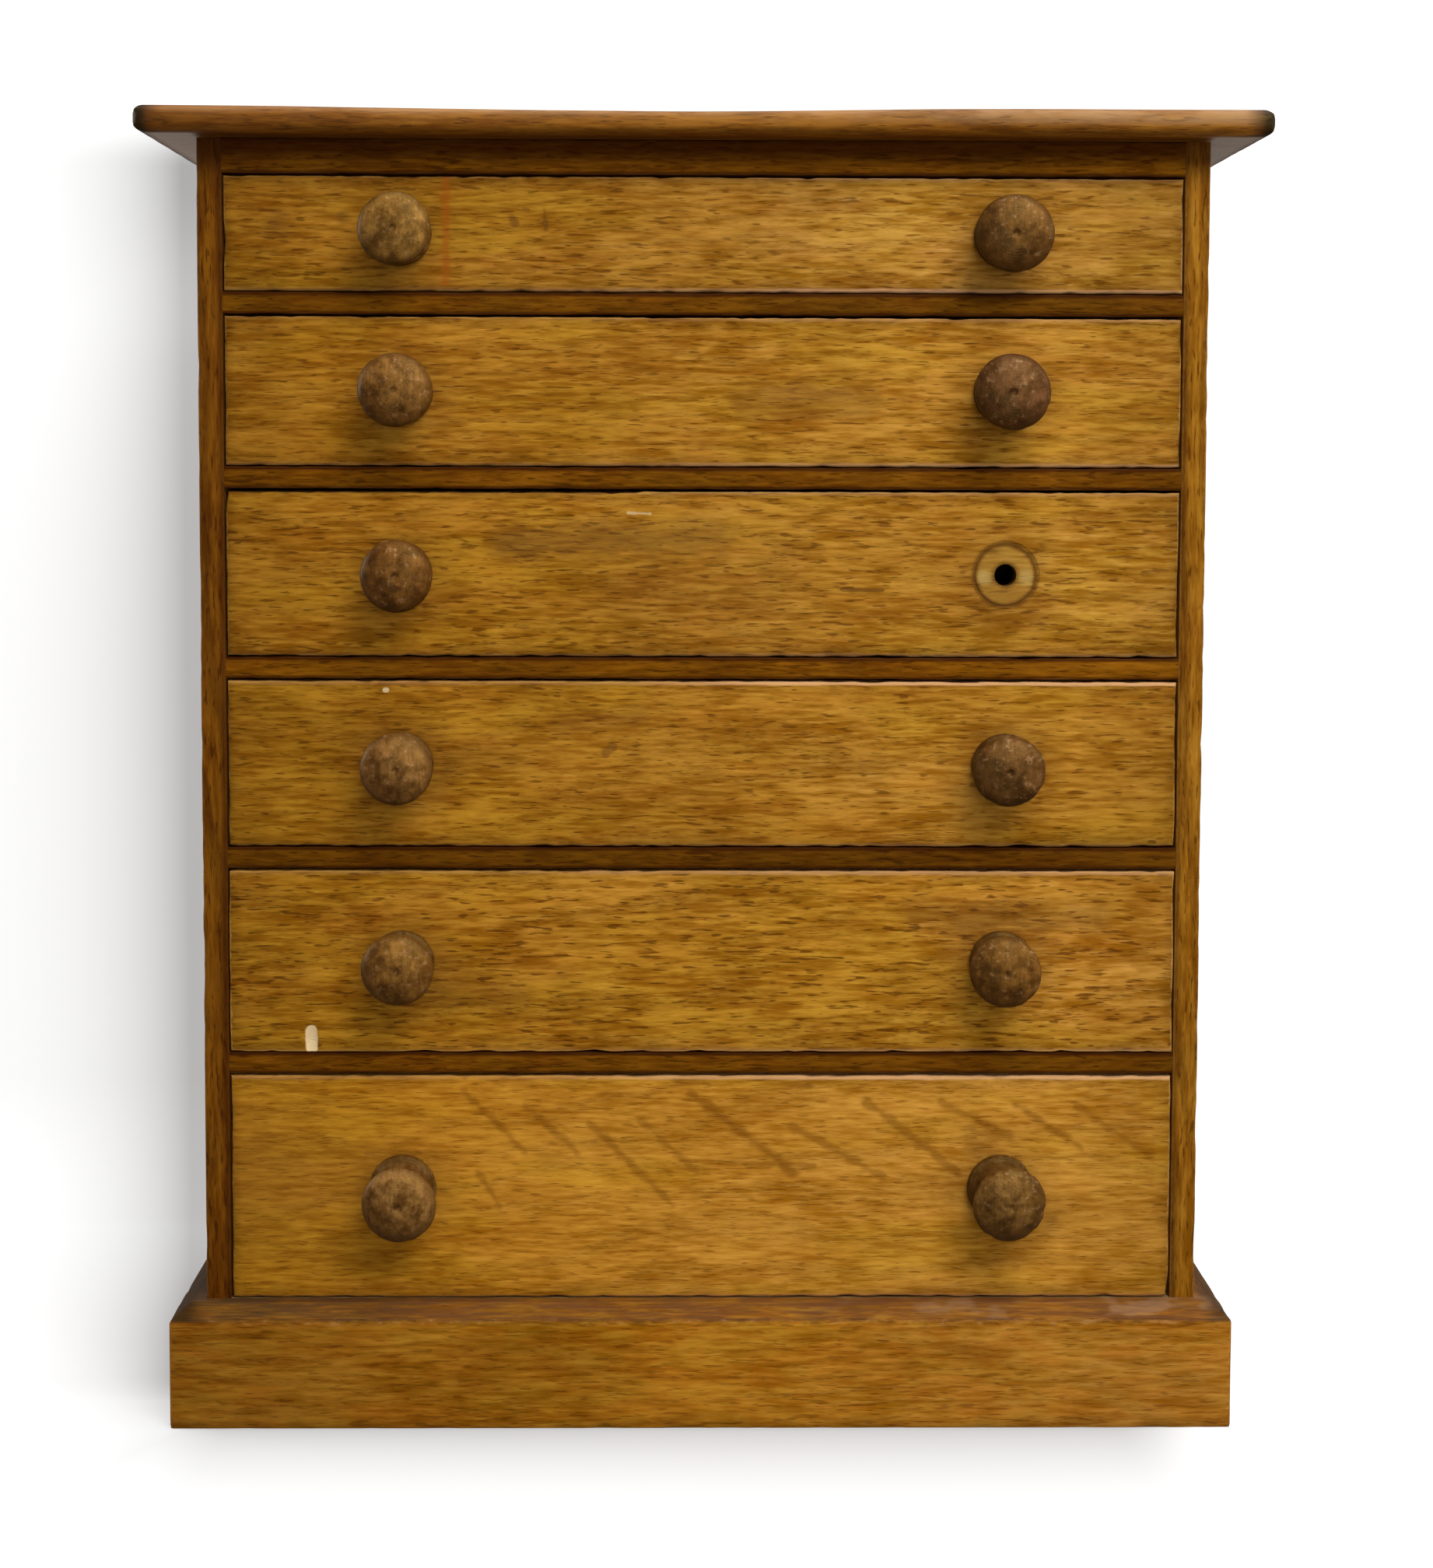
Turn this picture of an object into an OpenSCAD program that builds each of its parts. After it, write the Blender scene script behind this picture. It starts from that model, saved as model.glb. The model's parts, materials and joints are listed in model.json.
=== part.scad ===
// Miniature oak chest of six drawers that grow deeper towards the floor.
// Millimetres. X runs to the right, Y from the front to the back, Z up from the floor.

/* [Carcass] */
// Width across the two side panels
carcass_w = 320; // [260:1:420]
// Depth from the front edges of the side panels to the back
carcass_d = 215; // [150:1:300]
// Thickness of a side panel, whose front edge shows as a stile
side_t = 8; // [6.5:0.5:12]
// Thickness of the back panel
back_t = 5; // [3:0.5:8]
// Width of the rebate in each side panel that takes the back panel
rebate_w = 4; // [2.5:0.5:5.5]
// Height of the back panel's lower edge above the floor
back_lift = 2; // [0:0.5:10]
// Thickness of the bottom board
bottom_board_t = 7; // [5:0.5:10]
// Depth of the grooves in the side panels that house rails, runners and bottom board
housing_d = 2; // [1:0.5:4]
// Distance that the grooves stop short of the front edges of the side panels
housing_stop = 6; // [3:0.5:12]

/* [Top board] */
// Thickness of the top board
top_t = 8.5; // [6:0.5:14]
// Overhang of the top board at the front and at both ends
top_overhang = 17; // [10:0.5:30]
// Radius of the two roundings on the top board's edge
nosing_r = 3.8; // [1:0.1:6]
// Least height of the flat that is left above and below the middle of that edge
nosing_flat = 0.2; // [0.1:0.1:1]

/* [Rails and runners] */
// Height of the rail under the top board
top_rail_h = 11; // [6:0.5:18]
// Thickness of the rails between the drawers
rail_t = 7; // [5:0.5:12]
// Depth of the rails, from front to back
rail_d = 32; // [26:1:60]
// Width of a runner inside the carcass
runner_w = 12; // [8:0.5:20]

/* [Plinth] */
// Height of the plinth
plinth_h = 39.5; // [25:0.5:60]
// Thickness of the plinth boards
plinth_t = 10.5; // [8:0.5:16]
// Height of the bevel along the plinth's upper edge
bevel_h = 4.7; // [1:0.1:10]
// Depth of the bevel along the plinth's upper edge
bevel_d = 6; // [1:0.1:7]

/* [Drawer fronts] */
// Height of the first drawer front, under the top rail
front_1_h = 36; // [30:0.5:60]
// Height of the second drawer front
front_2_h = 47; // [30:0.5:80]
// Height of the third drawer front
front_3_h = 52.5; // [30:0.5:80]
// Height of the fourth drawer front
front_4_h = 53; // [30:0.5:80]
// Height of the fifth drawer front
front_5_h = 58.5; // [30:0.5:90]
// Height of the sixth drawer front, above the plinth
front_6_h = 72.6; // [30:0.1:110]
// Thickness of the drawer fronts
front_t = 9; // [7:0.5:14]
// Distance that the drawer fronts stand proud of the rails
front_proud = 0.5; // [0:0.1:2]

/* [Drawer fit] */
// Gap between the top of a drawer front and the rail above it
gap_above = 0.7; // [0.3:0.1:2]
// Running gap between a drawer and the rail and runners under it
gap_below = 0.3; // [0.2:0.1:1]
// Gap between a drawer and the side panel at each end
gap_side = 0.5; // [0.3:0.1:2]
// Gap between the back of a closed drawer and the back panel
gap_rear = 6; // [2:0.5:20]

/* [Drawer boxes] */
// Thickness of the drawer sides
drawer_side_t = 5; // [4:0.5:8]
// Thickness of the drawer backs
drawer_back_t = 5; // [3:0.5:8]
// Thickness of the drawer bottoms
drawer_bottom_t = 3.5; // [2:0.5:5]
// Height of the grooves that hold a drawer bottom above the drawer's lower edge
groove_up = 4.5; // [4:0.5:8]
// Depth of the grooves that hold a drawer bottom
groove_d = 2.5; // [1:0.5:3]
// Distance that the drawer sides are lower than the front
side_drop = 1.5; // [0:0.5:5]

/* [Dovetails] */
// Greatest height of one dovetail with its share of the pins
tail_pitch = 18; // [12:1:30]
// Width of the pins between two dovetails, at the drawer front's inner face
pin_w = 5; // [3:0.5:7]
// Flare of each flank of a dovetail over its length
tail_flare = 0.9; // [0.3:0.1:1.2]
// Thickness of wood that hides the dovetails at the drawer front's face
tail_lap = 3; // [2:0.5:5]

/* [Knobs] */
// Distance from each end of a drawer front to the middle of the knob near it
knob_inset = 55.3; // [30:0.1:100]
// Projection of a knob from the drawer front
knob_l = 22.5; // [20:0.5:32]
// Radius of the foot of a knob
knob_foot_r = 10.4; // [8:0.1:14]
// Thickness of the foot of a knob
knob_foot_t = 2.6; // [1.5:0.1:4]
// Radius of the head of a knob
knob_head_r = 11.5; // [9:0.1:16]
// Height of a knob's crown above the widest place of its head
knob_crown = 4.5; // [3:0.1:7]
// Radius of the rounding around the head
knob_edge_r = 2.2; // [1:0.1:2.6]
// Depth of the hollow turned between foot and head
knob_cove_d = 1.9; // [0.5:0.1:3]
// Radius of the knob holes in the drawer fronts
knob_hole_r = 3.5; // [2:0.1:5]
// Gap for glue around a knob's tenon
glue_gap = 0.05; // [0.02:0.01:0.2]
// Distance that a tenon stops short of the drawer front's inner face
tenon_short = 0.5; // [0:0.1:2]

/* [Drawer stops] */
// Length of a drawer stop
stop_l = 22; // [10:1:40]
// Width of a drawer stop, from front to back
stop_w = 8; // [4:0.5:12]
// Height of a drawer stop
stop_h = 3.5; // [2:0.1:3.7]
// Distance from each side panel to the middle of the stop near it
stop_inset = 82; // [25:1:120]
// Gap between a drawer stop and the closed drawer front
stop_gap = 0.3; // [0.2:0.1:1]

/* [Glue blocks and pins] */
// Width and height of a glue block
block_w = 12; // [8:0.5:18]
// Length of a glue block
block_l = 36; // [20:1:50]
// Distance between neighbouring glue blocks behind the plinth's front
block_spacing = 95; // [60:1:100]
// Radius of a back pin's shank
pin_shank_r = 0.7; // [0.5:0.1:1]
// Radius of a back pin's head
pin_head_r = 1.4; // [1.1:0.1:1.8]
// Thickness of a back pin's head
pin_head_t = 0.7; // [0.4:0.1:1.2]
// Length of a back pin's shank
pin_l = 13; // [9:0.5:20]
// Clearance around a back pin
pin_gap = 0.05; // [0.02:0.01:0.2]

/* [Wear] */
// Radius of the middle of the ring that the lost knob left
ring_r = 10.2; // [8:0.1:12]
// Width of the ring that the lost knob left
ring_w = 1.4; // [0.5:0.1:2.5]
// Depth of the ring that the lost knob left
ring_d = 0.3; // [0.1:0.1:0.8]
// Distance from the left end of the fifth drawer front to the middle of the chip
chip_inset = 26.1; // [20:0.1:38]
// Height of the chip's middle above the drawer front's lower edge
chip_z = 3.6; // [0:0.1:20]
// Length of the chip
chip_l = 9.5; // [4:0.5:14]
// Width of the chip
chip_w = 5; // [2:0.5:8]
// Depth of the chip
chip_d = 0.9; // [0.3:0.1:1.5]

/* [Hidden] */
$fn = 64;
// Steps along each arc of a turned or scooped outline
arc_steps = 8;
// Distance that a cut runs past the wood
past = 1;
// Angle around the edge of a knob's head at which the hollow under it ends
cove_angle = 50;

// Which drawer has lost its right knob, and which has the chip
lost_knob_drawer = 3;
chipped_drawer = 5;
drawer_count = 6;
drawers = [1 : drawer_count];
sides = [-1, 1];
front_heights = [front_1_h, front_2_h, front_3_h, front_4_h, front_5_h, front_6_h];

// Widths inside the carcass
opening_w = carcass_w - 2 * side_t;
housed_w = opening_w + 2 * housing_d;
front_w = opening_w - 2 * gap_side;
box_w = front_w - 2 * drawer_side_t;
knob_x = front_w / 2 - knob_inset;
chip_x = front_w / 2 - chip_inset;
stop_x = opening_w / 2 - stop_inset;

// Depths from the front edges of the side panels
inside_d = carcass_d - back_t;
drawer_l = inside_d - gap_rear + front_proud;
stop_y = front_t - front_proud + stop_gap;

// Heights above the floor
front_gap = gap_above + rail_t + gap_below;
function front_h(n) = front_heights[n - 1];
function front_z(n) = n == drawer_count
    ? plinth_h + gap_below
    : front_z(n + 1) + front_h(n + 1) + front_gap;
function rail_z(n) = front_z(n) - gap_below - rail_t;
function box_h(n) = front_h(n) - side_drop;
bottom_board_z = plinth_h - bottom_board_t;
top_rail_z = front_z(1) + front_h(1) + gap_above;
carcass_h = top_rail_z + top_rail_h;

// Places of the back pins, as [x, z]: behind each drawer's ends, and along the bottom board
low_pins = 4;
pin_places = concat(
    [
        for (s = sides, n = drawers)
            [s * (opening_w + rebate_w) / 2, front_z(n) + front_h(n) / 2]
    ],
    [
        for (i = [1 : low_pins])
            [opening_w * ((i - 0.5) / low_pins - 0.5), bottom_board_z + bottom_board_t / 2]
    ]
);

// The frame's origin lies on the floor, midway between the foremost place and the back
front_y = (max(front_proud + knob_l, top_overhang) - carcass_d) / 2;

// Node names
drawer_parts = ["front", "left_side", "right_side", "back", "bottom", "left_knob", "right_knob"];
function is_lost(n, part) = n == lost_knob_drawer && part == "right_knob";
carcass_nodes = [
    "top_board", "left_side", "right_side", "back_panel", "bottom_board", "top_rail",
    "top_kickers", "drawer_runners", "drawer_stops", "glue_blocks", "back_pins",
    "plinth_front", "plinth_left", "plinth_right"
];
rail_nodes = [for (n = [1 : drawer_count - 1]) str("drawer_rail_", n)];
drawer_nodes = [
    for (n = drawers, part = drawer_parts) if (!is_lost(n, part)) str("drawer_", n, "_", part)
];

// Points along an arc around a centre, without the first one where skip is 1
function arc(centre, r, from, to, skip = 0) = [
    for (i = [skip : arc_steps])
        let (a = from + (to - from) * i / arc_steps)
        centre + r * [cos(a), sin(a)]
];

// Points of a hollow arc after a and up to b, which sags by depth to the left of the way
function hollow(a, b, depth) =
    let (
        way = b - a,
        half = norm(way) / 2,
        r = (half * half + depth * depth) / (2 * depth),
        left = [-way[1], way[0]] / norm(way),
        centre = (a + b) / 2 + left * (depth - r),
        from = atan2(a[1] - centre[1], a[0] - centre[0]),
        to = atan2(b[1] - centre[1], b[0] - centre[0]),
        turn = to > from ? to - 360 : to
    )
    arc(centre, r, from, turn, 1);

// Moves a piece from the carcass's front plane to its place in the frame
module in_frame() {
    translate([0, front_y, 0]) children();
}

// A board given by its lowest corner and its size
module board(corner, size) {
    translate(corner) cube(size);
}

// Draws its children as they are and mirrored to the other end of the chest
module at_both_ends() {
    children();
    mirror([1, 0, 0]) children();
}

/* Carcass */

// Outline of the top board's section, with its nosing at the left
module nosed_outline(run) {
    r = min(nosing_r, top_t / 2 - nosing_flat);
    translate([r, 0]) square([run - r, top_t]);
    translate([0, r]) square([r + past, top_t - 2 * r]);
    for (z = [r, top_t - r]) translate([r, z]) circle(r);
}

module top_board() {
    top_w = carcass_w + 2 * top_overhang;
    top_d = carcass_d + top_overhang;
    color("peru") in_frame() translate([0, -top_overhang, carcass_h]) intersection() {
        rotate([90, 0, 90])
            translate([0, 0, -top_w / 2 - past])
            linear_extrude(top_w + 2 * past)
            nosed_outline(top_d);
        rotate([90, 0, 0]) translate([0, 0, -top_d - past]) linear_extrude(top_d + 2 * past) {
            translate([-top_w / 2, 0]) nosed_outline(top_w / 2 + past);
            mirror([1, 0]) translate([-top_w / 2, 0]) nosed_outline(top_w / 2 + past);
        }
    }
}

// Groove in a left side panel, from its stop to the back panel
module housing(z, h) {
    board([-opening_w / 2 - housing_d, housing_stop, z], [housing_d + past, inside_d - housing_stop, h]);
}

// Holes for the back pins
module pin_holes() {
    for (p = pin_places) translate([p[0], carcass_d, p[1]]) rotate([90, 0, 0]) {
        translate([0, 0, -past]) cylinder(pin_l + pin_head_t + pin_gap + past, r = pin_shank_r + pin_gap);
        translate([0, 0, -past]) cylinder(pin_head_t + past, r = pin_head_r + pin_gap);
    }
}

module left_side_panel() {
    difference() {
        board([-carcass_w / 2, 0, 0], [side_t, carcass_d, carcass_h]);
        housing(bottom_board_z, bottom_board_t);
        for (n = [1 : drawer_count - 1]) housing(rail_z(n), rail_t);
        housing(top_rail_z, top_rail_h + past);
        board(
            [-opening_w / 2 - rebate_w, inside_d, -past],
            [rebate_w + past, back_t + past, carcass_h + 2 * past]
        );
        pin_holes();
    }
}

module left_side() {
    color("saddlebrown") in_frame() left_side_panel();
}

module right_side() {
    color("saddlebrown") in_frame() mirror([1, 0, 0]) left_side_panel();
}

// Board across the carcass, let into both side panels behind the housings' stops
module housed_board(z, h, d) {
    board([-opening_w / 2, 0, z], [opening_w, d, h]);
    board([-housed_w / 2, housing_stop, z], [housed_w, d - housing_stop, h]);
}

module bottom_board() {
    color("burlywood") in_frame() difference() {
        housed_board(bottom_board_z, bottom_board_t, inside_d);
        pin_holes();
    }
}

module top_rail() {
    color("sienna") in_frame() housed_board(top_rail_z, top_rail_h, rail_d);
}

module drawer_rail(n) {
    color("sienna") in_frame() housed_board(rail_z(n), rail_t, rail_d);
}

// Strip along a side panel, behind a rail
module left_strip(z, h) {
    board([-housed_w / 2, rail_d, z], [housing_d + runner_w, inside_d - rail_d, h]);
}

module drawer_runners() {
    color("burlywood") in_frame() at_both_ends() {
        for (n = [1 : drawer_count - 1]) left_strip(rail_z(n), rail_t);
    }
}

module top_kickers() {
    color("burlywood") in_frame() at_both_ends() left_strip(top_rail_z, top_rail_h);
}

module drawer_stops() {
    color("burlywood") in_frame() at_both_ends() {
        for (n = drawers)
            board([stop_x - stop_l / 2, stop_y, front_z(n) - gap_below], [stop_l, stop_w, stop_h]);
    }
}

/* Back */

module back_panel() {
    panel_w = opening_w + 2 * rebate_w;
    color("burlywood") in_frame() difference() {
        board([-panel_w / 2, inside_d, back_lift], [panel_w, back_t, carcass_h - back_lift]);
        pin_holes();
    }
}

module back_pins() {
    color("dimgray") in_frame() for (p = pin_places) {
        translate([p[0], carcass_d, p[1]]) rotate([90, 0, 0]) {
            cylinder(pin_l + pin_head_t, r = pin_shank_r);
            cylinder(pin_head_t, r = pin_head_r);
        }
    }
}

/* Plinth */

// Outline of the plinth's section, with its inner face at the left
module plinth_outline() {
    polygon([
        [0, 0],
        [plinth_t, 0],
        [plinth_t, plinth_h - bevel_h],
        [plinth_t - bevel_d, plinth_h],
        [0, plinth_h]
    ]);
}

module plinth_front() {
    half = carcass_w / 2;
    long = half + plinth_t;
    color("peru") in_frame() intersection() {
        rotate([90, 0, -90]) translate([0, 0, -long]) linear_extrude(2 * long) plinth_outline();
        linear_extrude(plinth_h) polygon([[-half, 0], [half, 0], [long, -plinth_t], [-long, -plinth_t]]);
    }
}

module left_plinth_board() {
    half = carcass_w / 2;
    long = half + plinth_t;
    intersection() {
        translate([-half, carcass_d, 0])
            rotate([90, 0, 0])
            linear_extrude(carcass_d + plinth_t)
            mirror([1, 0])
            plinth_outline();
        linear_extrude(plinth_h)
            polygon([[-half, 0], [-half, carcass_d], [-long, carcass_d], [-long, -plinth_t]]);
    }
}

module plinth_left() {
    color("peru") in_frame() left_plinth_board();
}

module plinth_right() {
    color("peru") in_frame() mirror([1, 0, 0]) left_plinth_board();
}

// Blocks in the corner between plinth or side panel and bottom board
module glue_blocks() {
    z = bottom_board_z - block_w;
    color("tan") in_frame() {
        for (i = [-1 : 1])
            board([i * block_spacing - block_l / 2, 0, z], [block_l, block_w, block_w]);
        at_both_ends() for (i = [1 : 2])
            board([-opening_w / 2, inside_d * i / 3 - block_l / 2, z], [block_w, block_l, block_w]);
    }
}

/* Drawers */

// Moves a piece of a drawer from the drawer's own front lower edge to its place
module in_drawer(n) {
    in_frame() translate([0, -front_proud, front_z(n)]) children();
}

// Dovetails of the left end, seen from the side and cut from lap to the front's inner face
module left_tails(n) {
    count = max(1, ceil(box_h(n) / tail_pitch));
    pitch = box_h(n) / count;
    root = (pitch - pin_w) / 2;
    tip = root + tail_flare;
    translate([-front_w / 2, 0, 0]) rotate([90, 0, 90]) linear_extrude(drawer_side_t) {
        for (i = [0 : count - 1]) {
            z = (i + 0.5) * pitch;
            polygon([[tail_lap, z - tip], [front_t, z - root], [front_t, z + root], [tail_lap, z + tip]]);
        }
    }
}

// Places of the two knobs of a drawer
module at_knob(n, s) {
    translate([s * knob_x, 0, front_h(n) / 2]) rotate([90, 0, 0]) children();
}

// Scoop of the chip, widest and deepest at its middle
module chip_scoop() {
    scoop_r = (chip_w * chip_w / 4 + chip_d * chip_d) / (2 * chip_d);
    bulge_r = (chip_l * chip_l / 4 + chip_d * chip_d) / (2 * chip_d);
    spine = scoop_r - chip_d;
    half = asin(chip_l / 2 / bulge_r);
    translate([-chip_x, -spine, chip_z]) rotate_extrude() polygon(concat(
        [[0, -chip_l / 2]],
        arc([scoop_r - bulge_r, 0], bulge_r, -half, half),
        [[0, chip_l / 2]]
    ));
}

module drawer_front(n) {
    color("goldenrod") in_drawer(n) difference() {
        board([-front_w / 2, 0, 0], [front_w, front_t, front_h(n)]);
        at_both_ends() left_tails(n);
        board(
            [-box_w / 2 - groove_d, front_t - groove_d, groove_up],
            [box_w + 2 * groove_d, groove_d + past, drawer_bottom_t]
        );
        for (s = sides) at_knob(n, s) translate([0, 0, -front_t - past])
            cylinder(front_t + 2 * past, r = knob_hole_r);
        if (n == lost_knob_drawer) at_knob(n, 1) translate([0, 0, -ring_d]) difference() {
            cylinder(ring_d + past, r = ring_r + ring_w / 2);
            translate([0, 0, -past]) cylinder(ring_d + 3 * past, r = ring_r - ring_w / 2);
        }
        if (n == chipped_drawer) chip_scoop();
    }
}

module left_drawer_side(n) {
    difference() {
        union() {
            board([-front_w / 2, front_t, 0], [drawer_side_t, drawer_l - front_t, box_h(n)]);
            left_tails(n);
        }
        board([-box_w / 2 - groove_d, 0, groove_up], [groove_d + past, drawer_l + past, drawer_bottom_t]);
    }
}

module drawer_left_side(n) {
    color("burlywood") in_drawer(n) left_drawer_side(n);
}

module drawer_right_side(n) {
    color("burlywood") in_drawer(n) mirror([1, 0, 0]) left_drawer_side(n);
}

module drawer_back(n) {
    z = groove_up + drawer_bottom_t;
    color("burlywood") in_drawer(n)
        board([-box_w / 2, drawer_l - drawer_back_t, z], [box_w, drawer_back_t, box_h(n) - z]);
}

module drawer_bottom(n) {
    w = box_w + 2 * groove_d;
    y = front_t - groove_d;
    color("wheat") in_drawer(n)
        board([-w / 2, y, groove_up], [w, drawer_l - y, drawer_bottom_t]);
}

// A knob turned around Z, with its tenon below the drawer front's face at zero
module knob() {
    tenon_r = knob_hole_r - glue_gap;
    foot_edge = knob_foot_t / 2;
    foot_r = knob_foot_r - foot_edge;
    head_r = knob_head_r - knob_edge_r;
    head_s = knob_l - knob_crown;
    reach = head_r * head_r + knob_crown * knob_crown - knob_edge_r * knob_edge_r;
    dome_r = reach / (2 * (knob_crown - knob_edge_r));
    dome_s = knob_l - dome_r;
    meet = atan2(head_s - dome_s, head_r);
    cove_end = [head_r, head_s] + knob_edge_r * [cos(cove_angle), -sin(cove_angle)];
    rotate_extrude() polygon(concat(
        [[0, tenon_short - front_t], [tenon_r, tenon_short - front_t], [tenon_r, 0]],
        arc([foot_r, foot_edge], foot_edge, -90, 90),
        hollow([foot_r, knob_foot_t], cove_end, knob_cove_d),
        arc([head_r, head_s], knob_edge_r, -cove_angle, meet, 1),
        arc([0, dome_s], dome_r, meet, 90, 1)
    ));
}

module drawer_knob(n, s) {
    color("rosybrown") in_drawer(n) at_knob(n, s) knob();
}

top_board();
left_side();
right_side();
back_panel();
bottom_board();
top_rail();
top_kickers();
drawer_runners();
drawer_stops();
glue_blocks();
back_pins();
plinth_front();
plinth_left();
plinth_right();
for (n = [1 : drawer_count - 1]) {
    drawer_rail(n);
}
for (n = drawers) {
    drawer_front(n);
    drawer_left_side(n);
    drawer_right_side(n);
    drawer_back(n);
    drawer_bottom(n);
    drawer_knob(n, -1);
    if (!is_lost(n, "right_knob")) {
        drawer_knob(n, 1);
    }
}
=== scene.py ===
"""Miniature oak chest of six drawers, dressed over its CAD frame. Metres; MM turns millimetres into them."""

import json
import math

import bmesh
import bpy
from mathutils import Matrix, Vector, noise

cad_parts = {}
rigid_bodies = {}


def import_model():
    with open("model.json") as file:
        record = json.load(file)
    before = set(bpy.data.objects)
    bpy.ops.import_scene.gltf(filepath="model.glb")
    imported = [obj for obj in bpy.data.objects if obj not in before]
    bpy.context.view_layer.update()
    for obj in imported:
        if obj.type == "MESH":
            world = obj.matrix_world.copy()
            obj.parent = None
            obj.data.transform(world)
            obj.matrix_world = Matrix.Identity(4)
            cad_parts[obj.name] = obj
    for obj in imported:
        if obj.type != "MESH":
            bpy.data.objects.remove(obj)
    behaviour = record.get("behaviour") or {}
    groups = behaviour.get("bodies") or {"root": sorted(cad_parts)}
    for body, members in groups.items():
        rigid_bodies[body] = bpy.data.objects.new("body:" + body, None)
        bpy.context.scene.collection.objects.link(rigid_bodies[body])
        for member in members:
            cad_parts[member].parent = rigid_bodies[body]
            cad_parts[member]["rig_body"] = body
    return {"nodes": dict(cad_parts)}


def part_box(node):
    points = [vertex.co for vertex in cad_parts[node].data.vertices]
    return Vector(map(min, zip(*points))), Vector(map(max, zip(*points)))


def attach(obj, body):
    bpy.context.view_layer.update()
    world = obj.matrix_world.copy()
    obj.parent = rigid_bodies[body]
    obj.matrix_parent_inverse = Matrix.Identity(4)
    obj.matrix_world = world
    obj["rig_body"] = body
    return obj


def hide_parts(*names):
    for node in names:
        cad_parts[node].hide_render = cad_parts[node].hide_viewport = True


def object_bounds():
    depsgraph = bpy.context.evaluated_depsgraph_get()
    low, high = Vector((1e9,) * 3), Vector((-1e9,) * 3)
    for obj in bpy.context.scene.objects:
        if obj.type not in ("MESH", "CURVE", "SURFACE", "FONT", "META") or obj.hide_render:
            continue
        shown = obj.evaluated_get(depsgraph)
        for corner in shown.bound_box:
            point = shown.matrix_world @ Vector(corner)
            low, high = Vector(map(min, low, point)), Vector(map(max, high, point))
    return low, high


MM = 0.001
X, Y, Z = 0, 1, 2
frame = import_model()
cad_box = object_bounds()
scene = bpy.context.scene
nodes = frame["nodes"]
DRAWERS = range(1, 7)
LOWEST = 6
LOST_KNOB_DRAWER = 3
RAILS = range(1, 6)
TOP_RAIL = 7
SIDES = ("left", "right")


def box_mm(node):
    low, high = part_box(node)
    return low / MM, high / MM


def knob_place(drawer, side):
    """Middle of a knob hole on the drawer front's face, in millimetres."""
    low, high = box_mm(f"drawer_{drawer}_front")
    knob_low, knob_high = box_mm("drawer_6_right_knob")
    away = (knob_low.x + knob_high.x) / 2
    return Vector((away if side == "right" else -away, low.y, (low.z + high.z) / 2))


# Camera, fitted to the photograph

IMAGE_W, IMAGE_H = 1842, 2016
FOCAL_PX = 3600
PRINCIPAL_PX = (921, 840)
CAMERA_PLACE = Vector((-7.44, -987.25, 310.47)) * MM
YAW, PITCH, ROLL = (math.radians(angle) for angle in (0.751, 3.95, 0.177))
SENSOR = 36


def make_camera():
    data = bpy.data.cameras.new("camera")
    data.sensor_width = SENSOR
    data.lens = FOCAL_PX * SENSOR / IMAGE_H
    data.shift_x = (IMAGE_W / 2 - PRINCIPAL_PX[0]) / IMAGE_H
    data.shift_y = (PRINCIPAL_PX[1] - IMAGE_H / 2) / IMAGE_H
    data.clip_start, data.clip_end = 0.05, 20
    ahead = Vector((math.sin(YAW) * math.cos(PITCH), math.cos(YAW) * math.cos(PITCH), -math.sin(PITCH)))
    level = Vector((math.cos(YAW), -math.sin(YAW), 0))
    upward = level.cross(ahead)
    right = level * math.cos(ROLL) + upward * math.sin(ROLL)
    up = upward * math.cos(ROLL) - level * math.sin(ROLL)
    turn = Matrix((right, up, -ahead)).transposed()
    camera = bpy.data.objects.new("camera", data)
    camera.matrix_world = Matrix.Translation(CAMERA_PLACE) @ turn.to_4x4()
    scene.collection.objects.link(camera)
    scene.camera = camera


# Light, floor and backdrop

SWEEP_SIZE, SWEEP_RADIUS, SWEEP_STEPS = 3, 0.05, 48
WALL_BEHIND = 0.065
PAPER_UNDER = 0.2 * MM
AMBIENT = 0.25
PAPER = (0.26, 0.26, 0.26, 1)
PAPER_GLOW = 0.86
# The soft shadow of the chest, painted into the paper's glow: its depth, the length over which it fades,
# its lean and how steeply it fades in front
SHADE_DEPTH, SHADE_FADE, SHADE_LEAN, SHADE_FRONT = 0.57, 28 * MM, 0.17, 0.62


def make_world():
    """White to the camera, and a plain weak light on the object."""
    world = bpy.data.worlds.new("world")
    world.use_nodes = True
    world.node_tree.nodes.clear()
    n = Nodes(world.node_tree)
    path = n.add("LightPath").outputs
    seen = n.math("MAXIMUM", path["Is Camera Ray"], path["Is Transmission Ray"])
    strength = n.add("MapRange", {"Value": seen, "To Min": AMBIENT, "To Max": 1}).outputs[0]
    back = n.add("Background", {"Color": (1, 1, 1, 1), "Strength": strength}).outputs[0]
    n.add("OutputWorld", {"Surface": back})
    scene.world = world


# Each lamp's place, the point that it faces, its size and its power
MIDDLE = (0, 0, 0.2)
LAMPS = {
    "front": ((0.1, -1.6, 0.3), MIDDLE, 0.6, 4.6),
    "key": ((0.4, -1.05, 1.15), MIDDLE, 0.75, 13.5),
    "right": ((1.2, -0.3, 0.7), MIDDLE, 0.5, 2.5),
    "left": ((-1.3, 0.1, 0.6), MIDDLE, 0.8, 9),
    "overhead": ((0.1, 0.0, 1.5), (0, 0, 0), 1.1, 8),
    "behind": ((0, 1.3, 0.12), MIDDLE, 0.5, 12),
}


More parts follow.
